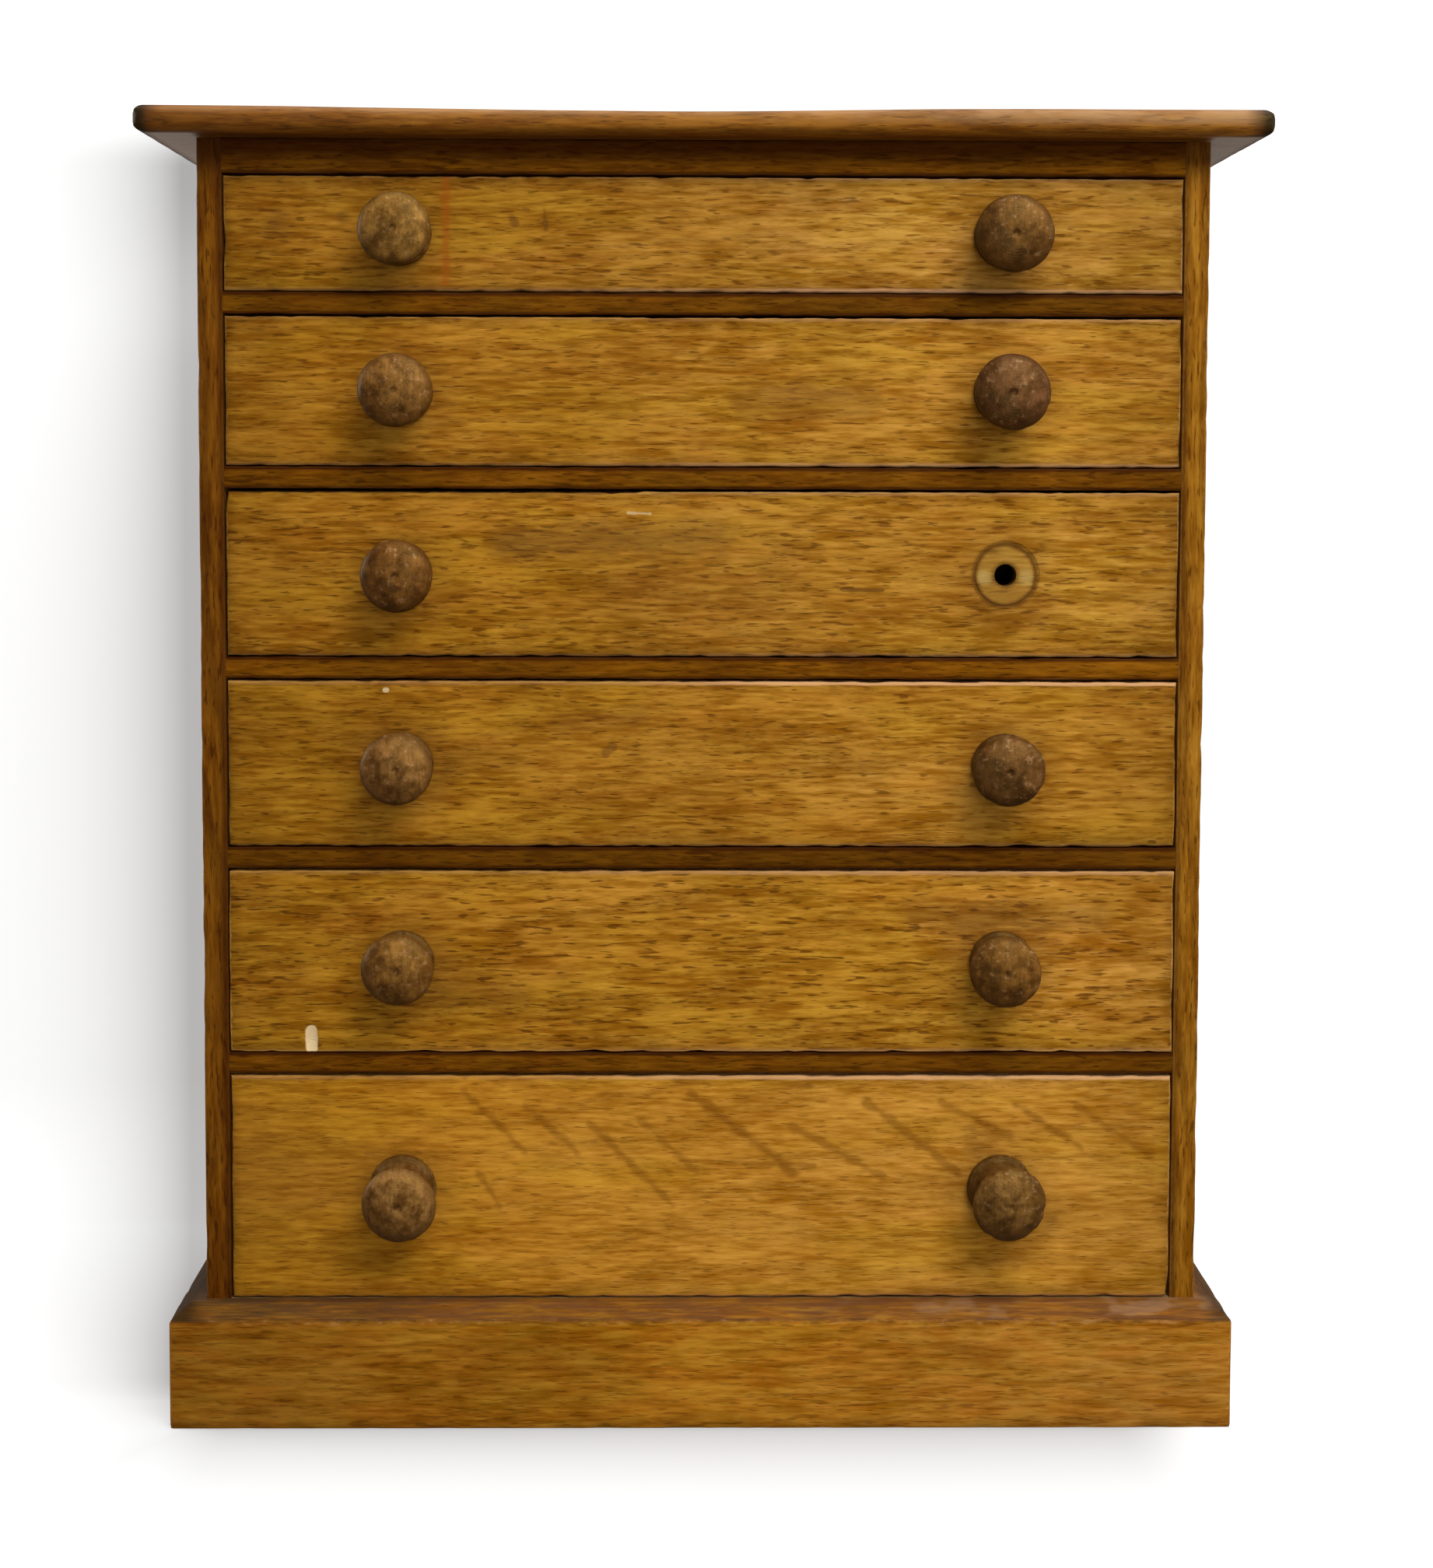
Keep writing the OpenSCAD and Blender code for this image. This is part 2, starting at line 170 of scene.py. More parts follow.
def make_lamp(name, place, target, size, power):
    data = bpy.data.lights.new(name, "AREA")
    data.shape = "DISK"
    data.size = size
    data.energy = power
    lamp = bpy.data.objects.new(name, data)
    aim = Vector(target) - Vector(place)
    lamp.matrix_world = Matrix.Translation(place) @ aim.to_track_quat("-Z", "Y").to_matrix().to_4x4()
    scene.collection.objects.link(lamp)


def stage_material():
    """Pale paper that keeps the object's shadow and has a soft shadow of the chest painted into its glow; it
    is clear from behind, so that the back can be seen.
    """
    material = bpy.data.materials.new("paper")
    material.use_nodes = True
    n = Nodes(material.node_tree)
    material.node_tree.nodes.clear()
    seen = n.add("LightPath").outputs["Is Camera Ray"]
    low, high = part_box("plinth_front")
    geometry = n.add("NewGeometry").outputs
    x, y, z = n.split(geometry["Position"])
    before = n.minus(low.y, y)
    lean = n.times(n.math("MAXIMUM", n.times(before, -1), 0), SHADE_LEAN)
    beside = n.minus(n.minus(low.x + 6 * MM, x), lean)
    away = n.math("MAXIMUM", n.math("MAXIMUM", beside, n.times(before, SHADE_FRONT)), 0)
    # dark is the painted shadow: deepest next to the chest, fading away from it
    dark = n.times(n.math("EXPONENT", n.math("DIVIDE", away, -SHADE_FADE)), SHADE_DEPTH)
    hidden = n.times(n.band(beside, -0.008, -0.035), n.band(before, -0.01, -0.04))
    ahead = n.math("MAXIMUM", n.band(before, 0.01, -0.055), n.band(x, low.x - 0.004, low.x + 0.02, 0.6, 1))
    for factor in (
        n.band(before, -0.03, 0.004, 1, 0.68),  # weaker in front
        n.band(y, 0.27, 0.186),  # none far behind the backdrop
        n.band(z, 0.453, 0.43),  # ends at the height of the top
        n.band(z, 0.36, 0.43, 1, 1.4),  # stronger under the overhang
        n.band(z, 0.05, 0, 1, 1.08),  # stronger on the floor
        n.band(y, 0.1, -0.03, 1, 1.26),  # stronger beside the front
        n.minus(1, hidden),  # none right behind the chest
        ahead,  # weaker before the left corner
        n.band(x, high.x - 0.003, high.x - 0.038),  # ends short of the right corner
    ):
        dark = n.times(dark, factor)
    far = n.vector("LENGTH", geometry["Position"])
    glow = n.times(n.minus(1, dark), n.band(far, 0.5, 1.2, PAPER_GLOW, 1))  # white far from the chest
    paper = n.add("BsdfDiffuse", {"Color": PAPER}).outputs[0]
    glow = n.add("Emission", {"Strength": n.times(seen, glow)}).outputs[0]
    both = n.add("AddShader", {0: paper, 1: glow}).outputs[0]
    clear = n.add("BsdfTransparent").outputs[0]
    sides = n.add("MixShader", {0: geometry["Backfacing"], 1: both, 2: clear}).outputs[0]
    n.add("OutputMaterial", {"Surface": sides})
    return material


def make_stage():
    """Floor and backdrop in one sweep of paper, and floor behind it that shows when it is seen from the
    back. The world lights the object from all sides, as if the paper weren't there."""
    wall_y = cad_box[1].y + WALL_BEHIND
    outline = [(-SWEEP_SIZE, 0)]
    for i in range(SWEEP_STEPS + 1):
        a = math.radians(90 * i / SWEEP_STEPS)
        outline.append((wall_y - SWEEP_RADIUS * (1 - math.sin(a)), SWEEP_RADIUS * (1 - math.cos(a))))
    outline.append((wall_y, SWEEP_SIZE))
    corners = [(x, y, z - PAPER_UNDER) for y, z in outline for x in (-SWEEP_SIZE, SWEEP_SIZE)]
    faces = [(2 * i, 2 * i + 1, 2 * i + 3, 2 * i + 2) for i in range(len(outline) - 1)]
    faces.append((2, 3, len(corners) + 1, len(corners)))
    corners += [(x, SWEEP_SIZE, -PAPER_UNDER) for x in (-SWEEP_SIZE, SWEEP_SIZE)]
    mesh = bpy.data.meshes.new("sweep")
    mesh.from_pydata(corners, [], faces)
    mesh.materials.append(stage_material())
    sweep = bpy.data.objects.new("sweep", mesh)
    scene.collection.objects.link(sweep)
    sweep.visible_diffuse = sweep.visible_glossy = sweep.visible_shadow = False


# Node helpers


def srgb(red, green, blue):
    """A colour given in display values from 0 to 255, as the linear values that the shaders take."""
    linear = (((c / 255 + 0.055) / 1.055) ** 2.4 if c > 10 else c / 255 / 12.92 for c in (red, green, blue))
    return (*linear, 1)


class Nodes:
    """Makes the nodes of one tree; a value may be a number, a colour or another node's output."""

    def __init__(self, tree):
        self.tree = tree

    def put(self, socket, value):
        if isinstance(value, bpy.types.NodeSocket):
            self.tree.links.new(value, socket)
        else:
            socket.default_value = value

    def add(self, kind, inputs=None, **settings):
        node = self.tree.nodes.new("ShaderNode" + kind)
        for key, value in settings.items():
            setattr(node, key, value)
        for key, value in (inputs or {}).items():
            self.put(node.inputs[key], value)
        return node

    def math(self, operation, *values):
        return self.add("Math", dict(enumerate(values)), operation=operation).outputs[0]

    def plus(self, a, b):
        return self.math("ADD", a, b)

    def minus(self, a, b):
        return self.math("SUBTRACT", a, b)

    def times(self, a, b):
        return self.math("MULTIPLY", a, b)

    def vector(self, operation, *values):
        node = self.add("VectorMath", dict(enumerate(values)), operation=operation)
        return node.outputs[1 if operation in ("LENGTH", "DISTANCE", "DOT_PRODUCT") else 0]

    def split(self, place):
        return self.add("SeparateXYZ", {0: place}).outputs

    def mix(self, amount, a, b, blend="MIX"):
        return self.add("Mix", {0: amount, 6: a, 7: b}, data_type="RGBA", blend_type=blend).outputs[2]

    def tinted(self, colour, tint):
        return self.mix(1, colour, tint, "MULTIPLY")

    def band(self, value, low, high, start=0, end=1):
        """Goes smoothly from start, where value is at low, to end, where it is at high."""
        inputs = {"Value": value, "From Min": low, "From Max": high, "To Min": start, "To Max": end}
        return self.add("MapRange", inputs, interpolation_type="SMOOTHSTEP").outputs[0]

    def noise(self, place, cell, detail=2.0, rough=0.5):
        """Noise from 0 to 1 whose cells are as long, in millimetres, as the three numbers of cell say."""
        scaled = self.vector("MULTIPLY", place, tuple(1 / c for c in cell))
        inputs = {"Vector": scaled, "Scale": 1, "Detail": detail, "Roughness": rough}
        return self.add("TexNoise", inputs).outputs[0]


def make_group(name, inputs, outputs, fill):
    """A node group; fill draws it from the group's inputs and returns a dictionary of its outputs."""
    tree = bpy.data.node_groups.new(name, "ShaderNodeTree")
    for key, kind in inputs.items():
        tree.interface.new_socket(key, in_out="INPUT", socket_type="NodeSocket" + kind)
    for key, kind in outputs.items():
        tree.interface.new_socket(key, in_out="OUTPUT", socket_type="NodeSocket" + kind)
    source = tree.nodes.new("NodeGroupInput")
    result = tree.nodes.new("NodeGroupOutput")
    made = fill(Nodes(tree), source.outputs)
    for key, value in made.items():
        tree.links.new(value, result.inputs[key])
    return tree


def fill_wood(n, given):
    """Sawn wood whose grain runs along X: growth rings, short pores, patches. Place is in millimetres."""
    place = given["Place"]
    x, y, z = n.split(place)
    wander = n.times(n.minus(n.noise(place, (150, 40, 40), 2), 0.5), 34)
    ripple = n.times(n.minus(n.noise(place, (22, 9, 9), 2), 0.5), 3)
    depth = n.plus(n.plus(y, given["Heart"]), n.times(x, 0.05))
    across = n.plus(z, n.times(wander, 0.4))
    radius = n.math("SQRT", n.plus(n.math("POWER", depth, 2), n.math("POWER", across, 2)))
    radius = n.plus(n.plus(radius, wander), ripple)
    turn = n.math("FRACT", n.math("DIVIDE", radius, given["Spacing"]))
    early = n.times(n.band(turn, 0, 0.12), n.band(turn, 0.62, 0.2))
    rings = n.times(early, n.noise(place, (60, 10, 10), 1))

    patch = n.noise(place, (40, 10, 10), 3, 0.6)
    streak = n.noise(place, (11, 1.35, 1.35), 2, 0.55)
    fleck_noise = n.noise(n.vector("ADD", place, (31, 7, 13)), (6.2, 0.85, 0.85), 1.4, 0.45)
    fleck_noise = n.plus(fleck_noise, n.times(n.minus(patch, 0.5), -0.22))
    flecks = n.band(fleck_noise, 0.6, 0.7)
    light_flecks = n.band(n.noise(n.vector("ADD", place, (57, 3, 91)), (6, 1.0, 1.0), 1, 0.4), 0.56, 0.7)
    pores = n.band(n.noise(place, (3.6, 0.32, 0.32), 1, 0.5), 0.6, 0.72)
    pores = n.times(pores, n.math("MULTIPLY_ADD", early, 0.7, 0.3))

    tone = n.times(n.minus(patch, 0.5), 1.5)
    tone = n.plus(tone, n.times(n.minus(streak, 0.5), 2.1))
    tone = n.math("MULTIPLY_ADD", tone, given["Contrast"], 0.52)
    colour = n.mix(n.band(tone, 0.0, 1.0), given["Mid"], given["Light"])
    olive = n.band(n.noise(n.vector("ADD", place, (11, 83, 5)), (62, 20, 20), 2), 0.46, 0.62)
    colour = n.mix(n.times(olive, given["Olive"]), colour, (0.96, 1.03, 0.6, 1), "MULTIPLY")
    russet = n.band(n.noise(n.vector("ADD", place, (71, 29, 47)), (30, 6, 6), 3, 0.6), 0.47, 0.62)
    colour = n.mix(n.times(russet, given["Russet"]), colour, (0.9, 0.78, 0.62, 1), "MULTIPLY")
    colour = n.mix(n.times(rings, given["Rings"]), colour, given["Dark"])
    colour = n.mix(n.times(flecks, given["Flecks"]), colour, given["Dark"])
    bright = n.tinted(colour, (1.22, 1.25, 1.7, 1))
    colour = n.mix(n.times(light_flecks, n.times(given["Flecks"], 0.8)), colour, bright)
    shade = n.tinted(given["Dark"], (0.62, 0.58, 0.55, 1))
    colour = n.mix(n.times(pores, n.times(given["Flecks"], 0.85)), colour, shade)

    height = n.math("MULTIPLY_ADD", streak, 0.5, n.times(flecks, -0.45))
    height = n.minus(height, n.times(pores, 0.6))
    height = n.minus(height, n.times(early, 0.12))
    gloss = n.math("MULTIPLY_ADD", flecks, 0.12, n.math("MULTIPLY_ADD", pores, 0.1, n.times(patch, 0.16)))
    return {"Color": colour, "Height": height, "Rough": gloss}


def fill_mark(n, given):
    """One where Place lies within Width of the line from A to B, seen from the front; its edge wanders."""
    flat = (1, 0, 1)
    start = n.vector("MULTIPLY", n.vector("SUBTRACT", given["Place"], given["A"]), flat)
    way = n.vector("MULTIPLY", n.vector("SUBTRACT", given["B"], given["A"]), flat)
    length = n.math("MAXIMUM", n.vector("DOT_PRODUCT", way, way), 0.0001)
    share = n.math("DIVIDE", n.vector("DOT_PRODUCT", start, way), length)
    share = n.math("MINIMUM", n.math("MAXIMUM", share, 0), 1)
    scale = n.add("VectorMath", {0: way, "Scale": share}, operation="SCALE").outputs[0]
    away = n.vector("LENGTH", n.vector("SUBTRACT", start, scale))
    wobble = n.minus(n.noise(given["Place"], (5, 5, 3), 2), 0.5)
    away = n.plus(away, n.times(wobble, given["Wobble"]))
    near = n.times(given["Width"], n.minus(1, given["Soft"]))
    inner = n.minus(away, near)
    span = n.math("MAXIMUM", n.minus(given["Width"], near), 0.01)
    return {"Mask": n.band(n.math("DIVIDE", inner, span), 1, 0)}


WOOD = make_group(
    "wood_figure",
    {
        "Place": "Vector", "Light": "Color", "Mid": "Color", "Dark": "Color", "Heart": "Float",
        "Spacing": "Float", "Rings": "Float", "Flecks": "Float", "Olive": "Float", "Russet": "Float",
        "Contrast": "Float",
    },
    {"Color": "Color", "Height": "Float", "Rough": "Float"},
    fill_wood,
)
MARK = make_group(
    "mark",
    {"Place": "Vector", "A": "Vector", "B": "Vector", "Width": "Float", "Soft": "Float", "Wobble": "Float"},
    {"Mask": "Float"},
    fill_mark,
)

# Materials

GOLD = {"Light": srgb(188, 132, 38), "Mid": srgb(140, 85, 4), "Dark": srgb(84, 40, 0)}
RUSSET = {"Light": srgb(152, 96, 26), "Mid": srgb(116, 62, 6), "Dark": srgb(70, 30, 0)}
BROWN = {"Light": srgb(122, 74, 8), "Mid": srgb(90, 48, 0), "Dark": srgb(52, 22, 0)}
PINE = {"Light": srgb(196, 164, 116), "Mid": srgb(168, 132, 84), "Dark": srgb(112, 76, 40)}
GRIME = srgb(56, 28, 0)
# Dark for soot and dirt, which also serves as painted shade in joints and under the overhang
SOOT_AND_SHADE = srgb(54, 14, 0)
# Pale of worn arrises, which also stands for a painted highlight on them
ARRIS_WEAR_AND_HIGHLIGHT = srgb(190, 140, 66)
WAX = (1.0, 0.72, 0.25, 1)


def shifted(colours, factor):
    """The colours of a wood, each made lighter or darker by one factor."""
    return {key: (*(min(1, c * factor) for c in value[:3]), 1) for key, value in colours.items()}


def group(n, tree, inputs):
    node = n.add("Group", node_tree=tree)
    for key, value in inputs.items():
        n.put(node.inputs[key], value)
    return node


def mark(n, place, a, b, width, soft, wobble):
    """Mask of a mark between two places (x, z) on the front, in millimetres."""
    inputs = {"Place": place, "A": (a[0], 0, a[1]), "B": (b[0], 0, b[1])}
    return group(n, MARK, {**inputs, "Width": width, "Soft": soft, "Wobble": wobble}).outputs[0]


def edge_distance(n, place, box, axes):
    """Distance in millimetres from the nearest of the box's ends along the named axes."""
    parts = n.split(place)
    nearest = None
    for axis in axes:
        for value in (n.minus(parts[axis], box[0][axis]), n.minus(box[1][axis], parts[axis])):
            nearest = value if nearest is None else n.math("MINIMUM", nearest, value)
    return nearest


def new_material(name):
    """A material with its node helper, its shader and the place on the object in millimetres."""
    material = bpy.data.materials.new(name)
    material.use_nodes = True
    n = Nodes(material.node_tree)
    place = n.vector("MULTIPLY", n.add("TexCoord").outputs["Object"], (1000, 1000, 1000))
    return material, n, material.node_tree.nodes["Principled BSDF"], place


def add_relief(n, shader, height, strength, distance):
    relief = n.add("Bump", {"Strength": strength, "Distance": distance, "Height": height})
    n.put(shader.inputs["Normal"], relief.outputs[0])


def wood_material(
    name, colours, offset, heart, spacing, rings, flecks, grain="xyz", olive=0.6, russet=0.55, contrast=1.0,
    rough=0.42, shine=0.18, edges=None, soil=(8.5, 1.5), arris=0.6, grime=0.5, marks=None,
):
    """A wood; grain names the axes that run along the grain, through the board and across it.
    edges is (box, axes) for patina, wear and a painted highlight along a board's edges; marks adds what one
    board has alone."""
    material, n, shader, place = new_material(name)
    parts = n.split(place)
    turned = n.add("CombineXYZ", {i: parts["xyz".index(axis)] for i, axis in enumerate(grain)}).outputs[0]
    local = n.vector("ADD", turned, offset)
    figure = {
        "Place": local, "Heart": heart, "Spacing": spacing, "Rings": rings, "Flecks": flecks, "Olive": olive,
        "Russet": russet, "Contrast": contrast,
    }
    made = group(n, WOOD, {**figure, **colours}).outputs
    colour, gloss = made["Color"], made["Rough"]
    height = made["Height"]
    smear = n.noise(n.vector("ADD", place, offset), (70, 30, 40), 3, 0.6)
    if edges:
        away = edge_distance(n, place, *edges)
        uneven = n.noise(place, (9, 9, 5), 3, 0.6)
        dirt = n.band(n.plus(away, n.times(uneven, soil[0] * 0.8)), *soil)
        colour = n.mix(n.times(dirt, grime), colour, GRIME)
        if X in edges[1]:
            ends = n.band(n.plus(edge_distance(n, place, edges[0], (X,)), n.times(smear, 40)), 62, 20)
            colour = n.mix(n.times(ends, 0.2), colour, GRIME)
        # Pale along the arrises: wear and a painted highlight
        chafe_and_highlight = n.band(n.plus(away, n.times(n.noise(place, (12, 2, 2), 2), 1.5)), 1.45, 0.85)
        colour = n.mix(n.times(chafe_and_highlight, arris), colour, ARRIS_WEAR_AND_HIGHLIGHT)
    colour = n.mix(n.band(smear, 0.5, 0.78, 0, 0.3), colour, GRIME)
    if marks:
        colour = marks(n, place, colour)
    n.put(shader.inputs["Base Color"], colour)
    roughness = n.plus(gloss, n.math("MULTIPLY_ADD", smear, 0.14, rough))
    n.put(shader.inputs["Roughness"], roughness)
    shader.inputs["Specular IOR Level"].default_value = shine
    shader.inputs["Specular Tint"].default_value = WAX
    scratch = n.band(n.noise(n.vector("ADD", place, (3, 17, 29)), (16, 0.5, 0.7), 1), 0.7, 0.78)
    height = n.minus(height, n.times(scratch, 0.4))
    add_relief(n, shader, height, 0.5, 0.4 * MM)
    return material


def front_marks(drawer):
    """What each drawer front shows alone: painted light from the right, pale edges of chafing and painted
    highlight, a painted shadow round its knobs, stains, painted sheen, rays, the lost knob's ring.
    """

    def draw(n, place, colour):
        x, _, z = n.split(place)
        wander = n.times(n.minus(n.noise(place, (60, 30, 25), 2), 0.5), 120)
        # Painted light: darker towards the left, lighter with a painted sheen towards the right
        lit_share = n.band(n.plus(x, wander), -150, 110)
        colour = n.tinted(colour, n.mix(lit_share, LEFT_SHADE_TINT, RIGHT_LIGHT_TINT[drawer]))
        low, high = box_mm(f"drawer_{drawer}_front")
        ragged = n.times(n.noise(place, (14, 2, 2), 2), 0.9)
        # Pale upper and lower edges: chafing and a painted highlight
        for end, sign, strength in ((low.z, 1, PALE_BELOW[drawer]), (high.z, -1, PALE_ABOVE[drawer])):
            away = n.plus(n.times(n.minus(z, end), sign), ragged)
            reach = n.times(n.band(away, 1.9, 1.2), n.band(n.plus(x, wander), -60, 40, 0.18, 1))
            colour = n.mix(n.times(reach, strength), colour, EDGE_CHAFE_AND_HIGHLIGHT)
        for side in SIDES:
            knob = knob_place(drawer, side)
            # Painted shadow round each knob, lying a little below it
            spot = (knob.x, knob.z - 2)
            painted_knob_shadow = mark(n, place, spot, spot, 25, 0.8, 9)
            colour = n.mix(n.times(painted_knob_shadow, 0.32 if drawer < 4 else 0.42), colour, srgb(84, 48, 14))
        for a, b, width, soft, wobble, strength, tint in MARKS.get(drawer, []):
            mask = mark(n, place, a, b, width, soft, wobble)
            # The whitening marks are painted sheen, laid over the wood's own colour
            over = n.tinted(colour, tint) if tint == PAINTED_SHEEN else tint
            colour = n.mix(n.times(mask, strength), colour, over)
        if drawer == LOST_KNOB_DRAWER:
            hole = knob_place(drawer, "right")
            at = (hole.x, hole.z)
            outer, inner = mark(n, place, at, at, 11.5, 0.16, 1.4), mark(n, place, at, at, 9.7, 0.16, 1.0)
            core = mark(n, place, at, at, 5.2, 0.4, 1.2)
            ring = n.times(outer, n.minus(1, inner))
            colour = n.mix(n.times(ring, 0.85), colour, srgb(88, 52, 14))
            colour = n.mix(n.times(inner, 0.2), colour, srgb(176, 146, 66))
            for side_x, strength in ((-6.8, 0.42), (6.6, 0.34)):
                spot = (hole.x + side_x, hole.z - 0.6)
                pale = n.times(mark(n, place, spot, spot, 3.6, 0.8, 2), strength)
                colour = n.mix(n.times(pale, inner), colour, srgb(206, 180, 112))
            colour = n.mix(n.times(core, 0.8), colour, srgb(74, 44, 12))
        return colour

    return draw


# Pale of chafed edges, which also stands for a painted highlight on them
EDGE_CHAFE_AND_HIGHLIGHT = srgb(214, 162, 112)
# How strongly the upper and the lower edge of each front are made pale, by chafing and a painted highlight
PALE_ABOVE = {1: 0.1, 2: 0.2, 3: 0.15, 4: 0.8, 5: 0.42, 6: 0.75}
PALE_BELOW = {1: 0.6, 2: 0.5, 3: 0.2, 4: 0.15, 5: 0.2, 6: 0.3}
# The fronts are painted darker and browner towards the left and lighter and greyer towards the right:
# painted light and a painted sheen from the right
LEFT_SHADE_TINT = (0.92, 0.89, 0.85, 1)
RIGHT_LIGHT_TINT = {
    1: (1.08, 1.15, 2.1, 1), 2: (1.12, 1.16, 1.8, 1), 3: (1.04, 1.08, 1.6, 1),
    4: (1.06, 1.08, 1.4, 1), 5: (1.1, 1.12, 1.6, 1), 6: (1.03, 1.08, 1.9, 1),
}
STAIN = srgb(88, 50, 18)
# A whitening tint for soft pale patches on the right of the fronts: painted sheen
PAINTED_SHEEN = (1.3, 1.36, 2.0, 1)
RED = srgb(150, 70, 8)
PALE = srgb(214, 186, 142)
CHIPPED = srgb(236, 208, 158)
RAY = srgb(120, 68, 4)
# Marks of single drawers: from, to (x and z in millimetres), width, softness, wander, strength, colour
MARKS = {
    1: [
        ((35, 381), (75, 381), 28, 0.95, 10, 0.7, PAINTED_SHEEN),
        ((-81.4, 399), (-81.6, 366), 2.0, 0.8, 1.2, 0.5, RED),
        ((-60.4, 386), (-59.6, 385), 1.9, 0.8, 3, 0.6, STAIN),
        ((-57, 389.4), (-55.5, 389), 0.9, 0.8, 2, 0.4, STAIN),
        ((-50.4, 389), (-50.0, 383), 1.1, 0.9, 3, 0.5, STAIN),
        ((-134.8, 384), (-134.8, 384), 6.5, 0.8, 4, 0.35, STAIN),
        ((-114, 386), (-114, 386), 3.5, 0.8, 3, 0.4, STAIN),
    ],
    2: [
        ((13.6, 329), (50.6, 329.6), 8, 0.5, 6, 0.28, STAIN),
        ((20, 331.5), (46, 331.5), 3.6, 0.6, 3, 0.3, srgb(176, 126, 52)),
    ],
    3: [
        ((-62, 284), (4, 286), 9, 0.9, 8, 0.42, srgb(92, 58, 28)),
        ((108, 274), (142, 274), 24, 0.95, 10, 0.7, PAINTED_SHEEN),
        ((-20, 270), (20, 270), 24, 0.95, 10, 0.2, STAIN),
        ((-24, 293.6), (-17, 293.4), 0.6, 0.5, 1.2, 0.6, PALE),
        ((44, 269.5), (57, 269.2), 0.8, 0.6, 0.6, 0.6, STAIN),
    ],
    4: [
        ((46, 213), (76, 213), 26, 0.95, 10, 0.45, PAINTED_SHEEN),
        ((-101.4, 237), (-100.8, 237), 0.9, 0.3, 0.4, 0.85, PALE),
        ((-45, 226), (-22, 229), 6, 0.9, 6, 0.3, STAIN),
        ((-31, 217), (-29, 219), 2, 0.6, 2, 0.5, STAIN),
        ((86, 207), (90, 207), 1, 0.6, 1, 0.6, STAIN),
    ],
    5: [
        ((112, 148), (142, 148), 26, 0.95, 10, 0.5, PAINTED_SHEEN),
        ((-125.4, 127.0), (-125.4, 121.4), 2.1, 0.25, 1.2, 0.9, CHIPPED),
        ((70, 164), (126, 164), 9, 0.9, 9, 0.36, STAIN),
        ((-100, 140), (-60, 138), 7, 0.9, 8, 0.25, STAIN),
    ],
    6: [
        ((-142, 76), (-120, 76), 36, 0.95, 10, 0.22, STAIN),
        ((-76.2, 106.9), (-57.0, 87.6), 2.1, 0.95, 3.4, 0.5, RAY),
        ((-57.0, 102.9), (-40.2, 87.6), 2.0, 0.95, 3.4, 0.45, RAY),
        ((-36.2, 97.3), (-9.0, 69.7), 2.2, 0.95, 3.4, 0.5, RAY),
        ((-19.4, 98.0), (-1.8, 81.0), 2.0, 0.95, 3.4, 0.45, RAY),
        ((-3.6, 106.9), (29.4, 81.0), 2.6, 0.95, 3.6, 0.6, RAY),
        ((29.3, 95.8), (58.3, 79.4), 2.2, 0.95, 3.4, 0.5, RAY),
        ((53.4, 103.9), (82.5, 81.0), 2.4, 0.95, 3.4, 0.55, RAY),
        ((77.2, 103.9), (100.0, 92.4), 2.2, 0.95, 3.4, 0.5, RAY),
        ((101.4, 102.9), (122.5, 89.1), 2.0, 0.95, 3.4, 0.5, RAY),
        ((120.8, 102.9), (143.4, 87.6), 1.9, 0.95, 3, 0.45, RAY),
        ((-72.3, 81.0), (-65.1, 69.8), 1.8, 0.95, 3, 0.5, RAY),
        ((6, 84), (36, 83), 1.8, 0.9, 3, 0.5, RAY),
        ((88, 92), (112, 66), 6, 0.9, 9, 0.25, STAIN),
    ],
}
# How light each front is, and how strong its dark pores are
TONES = {1: 0.9, 2: 0.96, 3: 0.97, 4: 0.98, 5: 1.04, 6: 1.32}
PORES = {1: 0.6, 2: 0.6, 3: 0.65, 4: 0.65, 5: 0.75, 6: 0.4}
# How light the rails are, at the left end and at the right one
RAIL_TONES = {
    1: (0.88, 0.74), 2: (1.0, 0.9), 3: (1.03, 1.33), 4: (0.7, 0.77), 5: (1.08, 0.85), TOP_RAIL: (1.0, 1.12),
}


def front_material(drawer):
    colours = shifted(GOLD, TONES[drawer])
    return wood_material(
        f"oak_front_{drawer}", colours, offset=(drawer * 211, drawer * 37, drawer * 5 - 230), heart=78,
        spacing=5.5, rings=0.28, flecks=PORES[drawer], russet=0.25 if drawer == LOWEST else 0.55,
        contrast=0.75 if drawer == LOWEST else 1, edges=(box_mm(f"drawer_{drawer}_front"), (X, Z)),
        arris=0.55, grime=0.42, marks=front_marks(drawer),
    )


